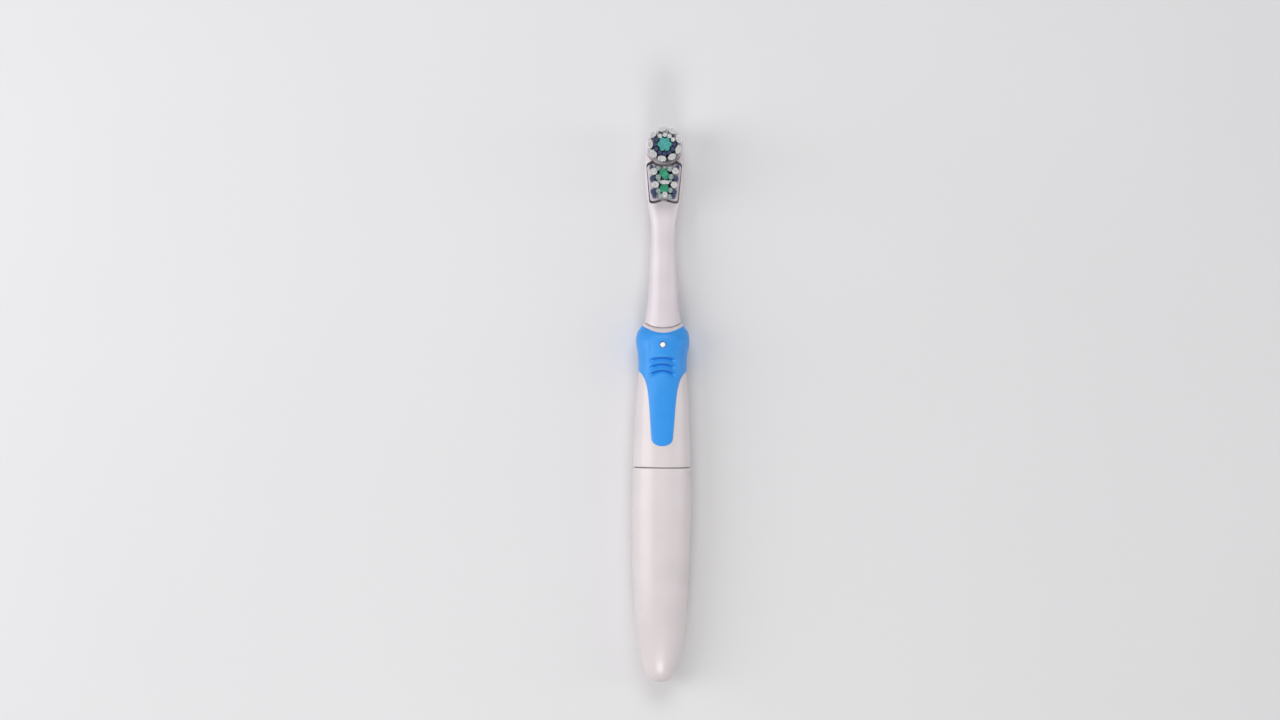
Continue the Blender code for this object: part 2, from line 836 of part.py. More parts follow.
def curve_to_piece(name, curve):
    guide = link("guide", curve)
    graph = bpy.context.evaluated_depsgraph_get()
    mesh = bpy.data.meshes.new_from_object(guide.evaluated_get(graph))
    bpy.data.objects.remove(guide)
    shape = bmesh.new()
    shape.from_mesh(mesh)
    bmesh.ops.remove_doubles(shape, verts=shape.verts, dist=merge_distance)
    return from_bmesh(name, shape)


# AA cell: a can with rolled edges, and its positive cap
def make_battery():
    shoulder = cell_end - cell_cap_height
    can = turned(
        "battery_can",
        (
            (0, cell_start),
            (cell_radius - cell_edge, cell_start),
            (cell_radius, cell_start + cell_edge),
            (cell_radius, shoulder - cell_edge),
            (cell_radius - cell_edge, shoulder),
            (cell_cap_radius + gap, shoulder),
            (cell_cap_radius + gap, shoulder - cell_cap_height),
            (0, shoulder - cell_cap_height),
        ),
        round_sides,
    )
    cap = turned(
        "battery_cap",
        (
            (0, shoulder - cell_cap_height + gap),
            (cell_cap_radius, shoulder - cell_cap_height + gap),
            (cell_cap_radius, cell_end - gap),
            (cell_cap_radius - gap, cell_end),
            (0, cell_end),
        ),
        small_sides,
    )
    finish(can, cell_wrap, None, handle_carrier)
    finish(cap, steel, None, handle_carrier)


# Coil spring that presses on the cell's base
def spring_route():
    lead = 2 * spring_wire_radius
    count = spring_turns * spring_sides
    route = [Vector((spring_radius, along(spring_start), axis_height))]
    for index in range(count + 1):
        angle = math.tau * index / spring_sides
        station = spring_start + lead + (spring_length - 2 * lead) * index / count
        x, z = spring_radius * math.cos(angle), spring_radius * math.sin(angle)
        route.append(Vector((x, along(station), height(z))))
    route.append(Vector((spring_radius, along(spring_start + spring_length), axis_height)))
    return route


def least_gap(route, wire):
    reach = spring_sides // 2
    pairs = [(a, b) for a in range(len(route)) for b in range(a + reach, len(route))]
    return min((route[a] - route[b]).length for a, b in pairs) - 2 * wire


def make_negative_spring():
    route = spring_route()
    print("spring, least gap to itself in mm:", round(least_gap(route, spring_wire_radius) / mm, 2))
    curve = bpy.data.curves.new("negative_spring", "CURVE")
    curve.dimensions = "3D"
    curve.bevel_depth = spring_wire_radius
    curve.bevel_resolution = 1
    curve.use_fill_caps = True
    spline = curve.splines.new("POLY")
    spline.points.add(len(route) - 1)
    for target, point in zip(spline.points, route):
        target.co = (*point, 1)
    finish(curve_to_piece("negative_spring", curve), steel, None, handle_carrier)


# Strips that carry the current past the cell to the motor
def make_contacts():
    outer = cage_radius + gap
    end = motor_cap_start - gap - terminal_length / 2
    strip = box(
        "negative_strip", -spring_radius, outer + strip_thickness, strip_foot, strip_foot + strip_thickness,
        -strip_half_width, strip_half_width,
    )
    leg = box("leg", outer, outer + strip_thickness, strip_foot, end, -strip_half_width, strip_half_width)
    hook_inner = terminal_offset + strip_thickness / 2 + gap
    hook = box(
        "hook", hook_inner, outer + strip_thickness, end - strip_thickness, end,
        -strip_half_width, strip_half_width,
    )
    finish(unite(strip, leg, hook), brass, None, handle_carrier)
    plate = box(
        "positive_contact", -terminal_offset - strip_thickness / 2, cell_cap_radius + overrun,
        contact_start, contact_start + strip_thickness, -strip_half_width, strip_half_width,
    )
    tail = box(
        "tail", -terminal_offset - strip_thickness / 2, -terminal_offset + strip_thickness / 2,
        contact_start, motor_cap_start - terminal_length - 2 * gap, -strip_half_width, strip_half_width,
    )
    finish(unite(plate, tail), brass, None, handle_carrier)


# Motor: can, end cap, two terminals
def make_motor():
    bore = motor_shaft_radius + gap
    can = turned(
        "motor_can",
        (
            (0, motor_start),
            (motor_radius - cell_edge, motor_start),
            (motor_radius, motor_start + cell_edge),
            (motor_radius, motor_end - cell_edge),
            (motor_radius - cell_edge, motor_end),
            (motor_boss_radius, motor_end),
            (motor_boss_radius, boss_end),
            (bore, boss_end),
            (bore, motor_end - motor_shaft_depth),
            (0, motor_end - motor_shaft_depth),
        ),
        round_sides,
    )
    finish(can, steel, None, handle_carrier)
    cap = lying_drum(
        "motor_end_cap", motor_radius, motor_cap_start, motor_cap_start + motor_cap_length, round_sides
    )
    boss = lying_drum("cap_boss", motor_boss_radius, motor_cap_start - overrun, motor_cap_start + overrun)
    unite(cap, boss)
    half = terminal_half_width
    for name, side in (("motor_terminal_left", -1), ("motor_terminal_right", 1)):
        middle = side * terminal_offset
        edge = strip_thickness / 2
        hole = box(
            "terminal_hole", middle - edge - press_gap, middle + edge + press_gap,
            motor_cap_start - overrun, motor_cap_start + overrun, -half - press_gap, half + press_gap,
        )
        cut(cap, hole)
        start = motor_cap_start - terminal_length
        blade = box(
            name, middle - edge, middle + edge, start, motor_cap_start + overrun - press_gap, -half, half
        )
        finish(blade, brass, None, handle_carrier)
    finish(cap, gray_plastic, None, handle_carrier)


# Rotor: shaft and toothed pinion
def make_rotor():
    origin = rotor_carrier.location.copy()
    shaft = lying_drum("motor_shaft", motor_shaft_radius, motor_end - motor_shaft_depth + gap, pinion_end)
    finish(shaft, steel, origin, rotor_carrier)
    root = pinion_pitch_radius - tooth_root
    tip = pinion_pitch_radius + tooth_reach
    step = math.tau / pinion_teeth
    rings = []
    corners = (
        (root, -pinion_foot_share),
        (tip, -pinion_tip_share),
        (tip, pinion_tip_share),
        (root, pinion_foot_share),
    )
    for station in (pinion_start, pinion_end):
        ring = []
        for tooth in range(pinion_teeth):
            middle = step * (tooth + 0.5) - math.radians(90)
            for radius, share in corners:
                angle = middle + share * step
                ring.append(
                    Vector((radius * math.cos(angle), along(station), height(radius * math.sin(angle))))
                )
        rings.append(ring)
    pinion = loft("pinion_gear", rings)
    bore = lying_drum("bore", motor_shaft_radius + press_gap, pinion_start - overrun, pinion_end + overrun)
    finish(cut(pinion, bore), acetal, origin, rotor_carrier)


# Crown gear with teeth on its face, a hub below and the crank pin above
def make_crown_gear():
    pitch_plane = -pinion_pitch_radius
    root = pitch_plane - tooth_root
    tip = pitch_plane + tooth_reach
    bottom = hub_bottom + crown_hub_length
    inner = crown_pitch_radius - crown_face_half_width
    outer = crown_pitch_radius + crown_face_half_width
    step = math.tau / crown_teeth
    rings = []
    corners = (
        (root, -tooth_foot_share),
        (tip, -tooth_tip_share),
        (tip, tooth_tip_share),
        (root, tooth_foot_share),
    )
    for tooth in range(crown_teeth):
        middle = step * tooth
        for depth, share in corners:
            angle = middle + share * step
            ring = []
            for radius, level in ((inner, bottom), (outer, bottom), (outer, depth), (inner, depth)):
                x, y = radius * math.sin(angle), radius * math.cos(angle)
                ring.append(Vector((x, along(crown_station) + y, height(level))))
            rings.append(ring)
    gear = loft("crown_gear", rings, cyclic=True)
    web_bottom = bottom + press_gap
    web = standing_drum(
        "web", inner + crown_rim, web_bottom, root - press_gap, 0, crown_station, round_sides
    )
    hub = standing_drum("hub", crown_hub_radius, hub_bottom, bottom + crown_rim, 0, crown_station)
    pin = standing_drum(
        "pin", crank_pin_radius, root - crown_rim, crank_pin_reach, -crank_throw, crown_station
    )
    unite(gear, web, hub, pin)
    bore = standing_drum("bore", axle_radius + gap, hub_bottom - overrun, axle_top + gap, 0, crown_station)
    finish(cut(gear, bore), acetal, crown_place.copy(), handle_carrier)


def make_crown_axle():
    start = -frame_plate_bottom + gap
    axle = standing_drum("crown_axle", axle_radius, start, axle_top, 0, crown_station)
    finish(axle, steel, None, handle_carrier)


# Frame under the motor and the gears, with the guide post of the drive shaft
def make_motor_frame():
    plate_top = -frame_plate_bottom + frame_plate_thickness
    frame = box(
        "motor_frame", -frame_half_width, frame_half_width, collar_end + gap, post_end + frame_overhang,
        -frame_plate_bottom, plate_top,
    )
    cradle_radius = motor_radius + gap + frame_wall
    cradle = lying_drum("cradle", cradle_radius, motor_start + gap, motor_end - gap, round_sides)
    cut(cradle, box(
        "cradle_top", -cradle_radius - overrun, cradle_radius + overrun,
        motor_start - overrun, motor_end + overrun,
        -cradle_drop, cradle_radius + overrun,
    ))
    boss_base = plate_top - frame_plate_thickness / 2
    boss = standing_drum("boss", axle_boss_radius, boss_base, hub_bottom - gap, 0, crown_station)
    post = box("post", -post_half_width, post_half_width, post_start, post_end, boss_base, post_top)
    unite(frame, cradle, boss, post)
    clearance = lying_drum(
        "clearance", motor_radius + gap, motor_cap_start - overrun, motor_end + gap, round_sides
    )
    shaft_bore = lying_drum("shaft_bore", shaft_radius + gap, post_start - overrun, post_end + overrun)
    axle_hole = standing_drum(
        "axle_hole", axle_radius + press_gap, -frame_plate_bottom - overrun, hub_bottom, 0, crown_station
    )
    cut(frame, clearance, shaft_bore, axle_hole)
    finish(frame, gray_plastic, None, handle_carrier)


# Drive shaft with the yoke that the crank pin works in
def make_drive_shaft():
    window = crank_throw + crank_pin_radius + gap
    outer = window + yoke_wall
    shaft = lying_drum("drive_shaft", shaft_radius, crown_station + window + yoke_wall / 2, shaft_end)
    yoke = box(
        "yoke", -outer, outer, crown_station - outer,
        crown_station + outer, -yoke_half_depth, yoke_half_depth,
    )
    unite(shaft, yoke)
    opening = box(
        "opening", -window, window, crown_station - window, crown_station + window,
        -yoke_half_depth - overrun, yoke_half_depth + overrun,
    )
    cut(shaft, opening)
    finish(shaft, steel, Vector((0, along(crown_station), axis_height)), handle_carrier)


# Rubber seal and plastic bush round the drive shaft
def make_shaft_rings():
    inner = shaft_radius + gap
    seal = turned(
        "shaft_seal",
        (
            (inner, seal_station),
            (seal_radius, seal_station),
            (seal_radius, seal_station + seal_length),
            (inner, seal_station + seal_length),
        ),
        small_sides,
        closed=True,
    )
    finish(seal, black_rubber, None, handle_carrier)
    start = nose_end - nose_bush_length
    bush = turned(
        "shaft_bush",
        ((inner, start), (seal_radius, start), (seal_radius, nose_end), (inner, nose_end)),
        small_sides,
        closed=True,
    )
    finish(bush, acetal, None, handle_carrier)


# Power button: a dot through the grip, on a flange inside the housing
def make_power_button():
    top = handle_size(button_station, 2, handle_front) + button_proud
    bottom = flange_top - flange_thickness
    root = bottom + flange_thickness / 2
    button = standing_drum("power_button", button_radius, root, top, 0, button_station, round_sides)
    flange = standing_drum("flange", flange_radius, bottom, flange_top, 0, button_station, round_sides)
    origin = Vector((0, along(button_station), height(bottom)))
    finish(unite(button, flange), white_plastic, origin, handle_carrier)


def make_switch():
    board_bottom = post_top + gap
    board_top = board_bottom + board_thickness
    board = box(
        "switch_board", -board_half_width, board_half_width, board_start, board_start + board_length,
        board_bottom, board_top,
    )
    finish(board, board_material, None, handle_carrier)
    foot_end = board_start + strip_thickness + 2 * gap
    blade = box(
        "switch_blade", -blade_half_width, blade_half_width,
        board_start + gap, board_start + board_length - gap,
        blade_height - strip_thickness, blade_height,
    )
    foot = box(
        "foot", -blade_half_width, blade_half_width,
        board_start + gap, foot_end, board_top + gap, blade_height,
    )
    finish(unite(blade, foot), brass, None, handle_carrier)


# Outline of the lower pad: its top follows the round head and its lower edge arches up
def pad_outline(grow, end_grow, arc_radius=head_radius + stroke + 2 * gap):
    reach = pad_top_half_width - 2 * pad_corner_radius + grow
    top_angle = math.degrees(math.asin(reach / arc_radius))
    top = arc_points(0, head_station, arc_radius, 270 - top_angle, 270 + top_angle, pad_arc_steps)
    side_x = pad_top_half_width + grow
    corner = pad_corner_station + end_grow
    low_x = pad_bottom_half_width + grow
    low = pad_bottom_station - end_grow
    right = [
        (side_x - pad_corner_radius / 2, corner + pad_corner_radius * pad_shoulder_share),
        (side_x, corner),
        (low_x, low + pad_corner_radius),
        (low_x - pad_corner_radius * pad_low_share, low + pad_corner_radius * pad_low_share),
        (low_x - pad_corner_radius, low),
        (0, low + pad_arch),
    ]
    left = [(-x, station) for x, station in reversed(right[:-1])]
    return top + right + left


# Neck housing: socket, rod channel, pocket of the pad and platform of the round head
def make_neck_housing():
    stations = [neck_start + row[0] * neck_length for row in neck_shares]
    neck = loft("neck_housing", [end_ring(neck_start)] + [neck_section(station) for station in stations])
    socket_stations = (neck_start - lip_dip - overrun, nose_end + gap)
    socket = loft("socket", [nose_section(station, gap) for station in socket_stations])
    room_end = rod_cup_end + stroke + gap
    cup_room = lying_drum("cup_room", rod_cup_radius + gap, nose_end - overrun, room_end, round_sides)
    channel = lying_drum("channel", rod_channel_radius, nose_end, rod_flat_start)
    disc_room = standing_drum(
        "disc_room", head_radius + gap, deck_height, neck_front, 0, head_station, disc_sides
    )
    pad_room = prism("pad_room", pad_outline(gap, stroke + gap, head_radius), deck_height, neck_front)
    foot_right = crank_peg_offset + crank_peg_radius + gap
    trough_bottom = -rod_flat_bottom - gap
    trough_end = head_station + rod_foot_reach + stroke + gap
    trough = box(
        "trough", -rod_radius - gap, foot_right + gap, rod_flat_start - stroke - overrun, trough_end,
        trough_bottom, deck_height + overrun,
    )
    hole_top = deck_height + overrun
    pin_hole = standing_drum(
        "pin_hole", head_pin_radius + press_gap, -head_pin_depth, hole_top, 0, head_station
    )
    post = standing_drum(
        "pin_post", head_pin_radius + 2 * press_gap, trough_bottom, deck_height, 0, head_station
    )
    cut(neck, socket, cup_room, channel, disc_room, pad_room, trough)
    unite(neck, post)
    cut(neck, pin_hole)
    finish(neck, white_plastic, None, neck_carrier)


def make_neck_bush():
    inner = rod_radius + gap
    outer = rod_channel_radius - press_gap
    profile = ((inner, bush_start), (outer, bush_start), (outer, bush_end), (inner, bush_end))
    finish(turned("neck_bush", profile, small_sides, closed=True), acetal, None, neck_carrier)


def make_round_head_pin():
    pin = standing_drum(
        "round_head_pin", head_pin_radius, -head_pin_depth + press_gap, head_top, 0, head_station
    )
    finish(pin, steel, None, neck_carrier)


# Push rod: cup over the drive shaft, round rod, flat foot with the crank peg
def make_push_rod():
    rod = lying_drum("push_rod", rod_cup_radius, rod_cup_start, rod_cup_end, round_sides)
    stem = lying_drum("stem", rod_radius, rod_cup_end - overrun, rod_flat_start + overrun)
    foot_right = crank_peg_offset + crank_peg_radius
    flat = box(
        "flat", -rod_radius, rod_radius, rod_flat_start, rod_foot_shoulder, -rod_flat_bottom, deck_height
    )
    foot = box(
        "foot", rod_foot_inner, foot_right,
        rod_foot_shoulder - rod_foot_reach, head_station + rod_foot_reach,
        -rod_flat_bottom, deck_height,
    )
    bridge = box(
        "bridge", 0, foot_right, rod_foot_shoulder - 2 * rod_foot_reach, rod_foot_shoulder,
        -rod_flat_bottom, deck_height,
    )
    peg_top = head_bottom + crank_peg_height
    peg = standing_drum("peg", crank_peg_radius, 0, peg_top, crank_peg_offset, head_station)
    unite(rod, stem, flat, foot, bridge, peg)
    bore = lying_drum("bore", shaft_radius + gap, rod_cup_start - overrun, rod_cup_end - rod_cup_floor)
    finish(cut(rod, bore), acetal, rod_carrier.location.copy(), rod_carrier)


def make_round_head_disc():
    disc = standing_drum("round_head_disc", head_radius, head_bottom, head_top, 0, head_station, disc_sides)
    bore = standing_drum(
        "bore", head_pin_radius + gap, head_bottom - overrun, head_top + overrun, 0, head_station
    )
    reach = crank_peg_radius + gap
    slot = box(
        "slot", crank_peg_offset - reach, crank_peg_offset + reach + slot_spread,
        head_station - reach, head_station + reach, head_bottom - overrun, head_top - slot_ceiling,
    )
    finish(cut(disc, bore, slot), white_plastic, head_place.copy(), head_carrier)


def make_lower_pad_plate():
    plate = prism("lower_pad_plate", pad_outline(0, 0), head_bottom, head_top)
    finish(plate, white_plastic, rod_carrier.location.copy(), rod_carrier)


def strand_ring(x, station, radius, count, turn=0.0):
    angles = [math.tau * index / count + turn for index in range(count)]
    return [(x + radius * math.sin(angle), station + radius * math.cos(angle)) for angle in angles]


# Places of the strands in one tuft: a ring of few, or a middle strand with one or two rings round it
def tuft_places(x, station, strands):
    if strands < full_tuft_count:
        return strand_ring(x, station, strand_spacing * small_tuft_share, strands, math.pi / strands)
    places = [(x, station)]
    places += strand_ring(x, station, strand_spacing, tuft_ring_count, math.pi / tuft_ring_count)
    return places + strand_ring(x, station, 2 * strand_spacing, strands - full_tuft_count)


# Strands of three sides that stand on a slice, joined to it
def add_strands(backing, places, length, fan=None):
    shape = bmesh.new()
    for x, station in places:
        shift = fan(x, station) if fan else Vector((0, 0, 0))
        rings = []
        tip_radius = strand_radius * strand_tip_share
        for level, radius, share in ((strand_base, strand_radius, 0), (strand_base + length, tip_radius, 1)):
            ring = []
            for corner in range(strand_sides):
                angle = math.tau * corner / strand_sides + math.radians(90)
                around = Vector((radius * math.cos(angle), radius * math.sin(angle), 0))
                ring.append(
                    shape.verts.new(Vector((x, along(station), height(level))) + around + shift * share)
                )
            rings.append(ring)
        shape.faces.new(rings[0])
        shape.faces.new(rings[1])
        for corner in range(strand_sides):
            following = (corner + 1) % strand_sides
            shape.faces.new((rings[0][corner], rings[0][following], rings[1][following], rings[1][corner]))
    return unite(backing, from_bmesh("strands", shape))


def ring_of_tufts(count, radius, strands, turn=0):
    places = []
    for index in range(count):
        angle = math.tau * index / count + turn
        places += tuft_places(radius * math.sin(angle), head_station + radius * math.cos(angle), strands)
    return places


def head_slice(name, inner, outer):
    piece = standing_drum(name, outer, slice_bottom, slice_top, 0, head_station, disc_sides)
    if inner > 0:
        inside = standing_drum(
            "inside", inner, slice_bottom - overrun, slice_top + overrun, 0, head_station, disc_sides
        )
        cut(piece, inside)
    return piece


def fan_out(x, station):
    return Vector((x, station - head_station, 0)).normalized() * outer_fan


def make_round_bristles():
    outer = head_slice("round_outer_bristles", outer_slice_inner, head_radius)
    places = ring_of_tufts(outer_tufts, outer_tuft_radius, full_tuft_count)
    add_strands(outer, places, bristle_length, fan_out)
    finish(outer, white_bristle, head_place.copy(), head_carrier)
    ring = head_slice("round_ring_bristles", ring_slice_inner, ring_slice_outer)
    places = ring_of_tufts(ring_tufts, ring_tuft_radius, small_tuft_count)
    add_strands(ring, places, ring_bristle_length)
    finish(ring, blue_bristle, head_place.copy(), head_carrier)
    center = head_slice("round_center_bristles", 0, center_slice_radius)
    places = tuft_places(0, head_station, full_tuft_count)
    places += ring_of_tufts(center_tufts, center_tuft_radius, full_tuft_count)
    add_strands(center, places, center_bristle_length)
    finish(center, green_bristle, head_place.copy(), head_carrier)


def pad_half_width(station):
    share = (station - pad_bottom_station) / (pad_corner_station - pad_bottom_station)
    return pad_bottom_half_width + (pad_top_half_width - pad_bottom_half_width) * share


def make_lower_bristles():
    origin = rod_carrier.location.copy()
    run = pad_corner_station - pad_bottom_station
    sides = prism("lower_side_bristles", pad_outline(0, 0), slice_bottom, slice_top)
    column = center_column_half_width + gap
    cut(sides, box(
        "column", -column, column, center_column_start - gap, head_station,
        slice_bottom - overrun, slice_top + overrun,
    ))
    places = []
    for run_share, width_share in side_tuft_shares:
        station = pad_bottom_station + run_share * run
        for side in (-1, 1):
            places += tuft_places(side * width_share * pad_half_width(station), station, full_tuft_count)
    rise = pad_bottom_station + bottom_tuft_rise_share * run
    for share in bottom_tuft_shares:
        places += tuft_places(share * pad_bottom_half_width, rise, full_tuft_count)
    add_strands(sides, places, bristle_length)
    finish(sides, white_bristle, origin, rod_carrier)
    center = prism("lower_center_bristles", pad_outline(0, 0), slice_bottom, slice_top)
    keep(center, box(
        "middle", -center_column_half_width, center_column_half_width, center_column_start, head_station,
        slice_bottom - overrun, slice_top + overrun,
    ))
    column_run = head_station - head_radius - center_column_start
    places = []
    for share in center_tuft_shares:
        places += tuft_places(0, center_column_start + share * column_run, wide_tuft_count)
    add_strands(center, places, center_bristle_length)
    finish(center, green_bristle, origin, rod_carrier)


make_battery_cover()
make_grip_sleeve()
make_upper_housing()
make_battery_cage()
make_cover_o_ring()
make_battery()
make_negative_spring()
make_contacts()
make_motor()
make_rotor()
make_crown_gear()
make_crown_axle()
make_motor_frame()
make_drive_shaft()
make_shaft_rings()
make_power_button()
make_switch()
make_neck_housing()
make_neck_bush()
make_round_head_pin()
make_push_rod()
make_round_head_disc()
make_lower_pad_plate()
make_round_bristles()
make_lower_bristles()
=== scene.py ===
import math
import random

import bmesh
import bpy
from mathutils import Matrix, Vector


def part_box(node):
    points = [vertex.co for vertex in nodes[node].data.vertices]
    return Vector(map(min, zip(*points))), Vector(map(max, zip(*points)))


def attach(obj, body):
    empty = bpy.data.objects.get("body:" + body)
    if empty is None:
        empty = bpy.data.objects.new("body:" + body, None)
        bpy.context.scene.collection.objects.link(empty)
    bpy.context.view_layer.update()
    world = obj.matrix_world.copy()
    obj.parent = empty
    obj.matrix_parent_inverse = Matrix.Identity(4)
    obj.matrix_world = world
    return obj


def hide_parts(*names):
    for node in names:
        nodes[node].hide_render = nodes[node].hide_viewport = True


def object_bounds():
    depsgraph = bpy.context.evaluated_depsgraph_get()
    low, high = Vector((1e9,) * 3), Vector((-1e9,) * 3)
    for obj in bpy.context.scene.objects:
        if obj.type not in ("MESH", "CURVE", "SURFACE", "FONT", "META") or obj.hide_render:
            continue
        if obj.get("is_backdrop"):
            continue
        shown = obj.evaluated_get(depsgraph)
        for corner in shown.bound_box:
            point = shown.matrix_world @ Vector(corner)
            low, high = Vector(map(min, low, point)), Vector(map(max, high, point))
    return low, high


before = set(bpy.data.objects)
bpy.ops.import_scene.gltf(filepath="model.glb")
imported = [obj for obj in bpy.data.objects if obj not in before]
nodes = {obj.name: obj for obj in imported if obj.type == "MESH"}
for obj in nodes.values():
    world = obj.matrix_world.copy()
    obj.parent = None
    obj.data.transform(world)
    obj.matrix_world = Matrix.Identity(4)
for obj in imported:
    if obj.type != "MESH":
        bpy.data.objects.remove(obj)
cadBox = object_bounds()
mm = 0.001
random.seed(7)

# Sizes below are in millimetres. A station is the distance from the lower tip,
# and a depth is measured from the drive axis.
brush = {"length": 227.179, "axisHeight": 10.9}
lip = {"dip": 2.3, "run": 15.0, "depth": 6.6}  # the dip of the handle's upper edge towards the bristle side


def spot(x, station, depth):
    return Vector((x, station - brush["length"] / 2, depth + brush["axisHeight"])) * mm


# small helpers

def linear(code, alpha=1.0):
    parts = [int(code[i:i + 2], 16) / 255 for i in (1, 3, 5)]
    return tuple(p / 12.92 if p <= 0.04045 else ((p + 0.055) / 1.055) ** 2.4 for p in parts) + (alpha,)


def addNode(mat, kind, inputs=None, stops=(), **settings):
    node = mat.node_tree.nodes.new("ShaderNode" + kind)
    for name, value in settings.items():
        setattr(node, name, value)
    for i, (position, code) in enumerate(stops):
        node.color_ramp.elements[i].position, node.color_ramp.elements[i].color = position, linear(code)
    for name, value in (inputs or {}).items():
        if isinstance(value, bpy.types.NodeSocket):
            mat.node_tree.links.new(value, node.inputs[name])
        else:
            node.inputs[name].default_value = value
    return node


def startMaterial(name):
    mat = bpy.data.materials.new(name)
    mat.use_nodes = True
    mat.node_tree.nodes.clear()
    return mat


# A value from rows of (station, ...), on a curve that doesn't overshoot its points
def readRows(rows, station, column):
    if station <= rows[0][0]:
        return rows[0][column]
    if station >= rows[-1][0]:
        return rows[-1][column]
    slopes = [(b[column] - a[column]) / (b[0] - a[0]) for a, b in zip(rows, rows[1:])]
    k = max(i for i in range(len(slopes)) if rows[i][0] <= station)

    def tangent(i):
        if i in (0, len(slopes)):
            return slopes[min(i, len(slopes) - 1)]
        if slopes[i - 1] * slopes[i] <= 0:
            return 0
        return 2 * slopes[i - 1] * slopes[i] / (slopes[i - 1] + slopes[i])

    span = rows[k + 1][0] - rows[k][0]
    t = (station - rows[k][0]) / span
    value = (2 * t**3 - 3 * t**2 + 1) * rows[k][column] + (3 * t**2 - 2 * t**3) * rows[k + 1][column]
    return value + span * ((t**3 - 2 * t**2 + t) * tangent(k) + (t**3 - t**2) * tangent(k + 1))


# A ring of a shell, as a rule that places a vertex by its turn round the brush
def ring(station, width, front, back, power, dip=0.0, floor=0.0, outerFront=None):
    reach = (outerFront or front or 1) / lip["depth"]

    def point(turn):
        across, out = math.cos(turn), math.sin(turn)
        x = width * math.copysign(abs(across) ** (2 / power), across)
        depth = (front if out > 0 else back) * math.copysign(abs(out) ** (2 / power), out)
        lowered = dip * min(max(depth / (front or 1) * reach, 0), 1) ** 2
        return spot(x, station - lowered, max(depth, floor - brush["axisHeight"]))

    return point


def roundRing(station, radius):
    return ring(station, radius, radius, radius, 2)


# Stations between two ends, without the ends
def steps(start, end, size):
    count = max(1, round(abs(end - start) / size))
    return [start + (end - start) * i / count for i in range(1, count)]


# A circle is extruded from ring to ring, and each new loop is set on its rule
def loftRings(name, rings, sides, joined=False):
    bm = bmesh.new()
    turnLayer = bm.verts.layers.float.new("turn")
    loop = bmesh.ops.create_circle(bm, segments=sides, radius=1)["verts"]
    for v in loop:
        v[turnLayer] = math.atan2(v.co.y, v.co.x)
        v.co = rings[0](v[turnLayer])
    edges = bm.edges[:]
    first = edges
    for rule in rings[1:]:
        made = bmesh.ops.extrude_edge_only(bm, edges=edges)["geom"]
        loop = {g for g in made if isinstance(g, bmesh.types.BMVert)}
        edges = [g for g in made if isinstance(g, bmesh.types.BMEdge) and set(g.verts) <= loop]
        for v in loop:
            v.co = rule(v[turnLayer])
    if joined:
        bmesh.ops.bridge_loops(bm, edges=first + edges)
    bmesh.ops.remove_doubles(bm, verts=bm.verts, dist=0.002 * mm)
    bmesh.ops.recalc_face_normals(bm, faces=bm.faces)
    return toObject(name, bm)


# A profile of radius and height is spun round, and place sets each vertex where it belongs
def spinPiece(name, profile, sides, place, sharp=40):
    bm = bmesh.new()
    line = [bm.verts.new((r, 0, h)) for r, h in profile]
    edges = [bm.edges.new(pair) for pair in zip(line, line[1:])]
    bmesh.ops.spin(bm, geom=line + edges, cent=(0, 0, 0), axis=(0, 0, 1), angle=math.tau, steps=sides,
                   use_merge=True)
    bmesh.ops.remove_doubles(bm, verts=bm.verts, dist=0.001)
    for v in bm.verts:
        v.co = place(v.co)
    bmesh.ops.recalc_face_normals(bm, faces=bm.faces)
    return toObject(name, bm, sharp)


def toObject(name, bm, sharp=40):
    mesh = bpy.data.meshes.new(name)
    bm.to_mesh(mesh)
    bm.free()
    mesh.shade_smooth()
    mesh.set_sharp_from_angle(angle=math.radians(sharp))
    obj = bpy.data.objects.new(name, mesh)
    bpy.context.scene.collection.objects.link(obj)
    return obj


def addModifier(obj, kind, **settings):
    mod = obj.modifiers.new(kind.title(), kind)
    for name, value in settings.items():
        setattr(mod, name, value)
    return mod


# Bakes the modifiers into the mesh
def settle(obj, sharp=40):
    dg = bpy.context.evaluated_depsgraph_get()
    mesh = bpy.data.meshes.new_from_object(obj.evaluated_get(dg))
    obj.modifiers.clear()
    old = obj.data
    obj.data = mesh
    bpy.data.meshes.remove(old)
    mesh.name = obj.name
    mesh.shade_smooth()
    mesh.set_sharp_from_angle(angle=math.radians(sharp))
    return obj


def dress(obj, mat, body, slot, *replaced):
    obj.data.materials.clear()
    obj.data.materials.append(mat)
    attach(obj, body)
    if replaced:
        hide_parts(*replaced)


# materials

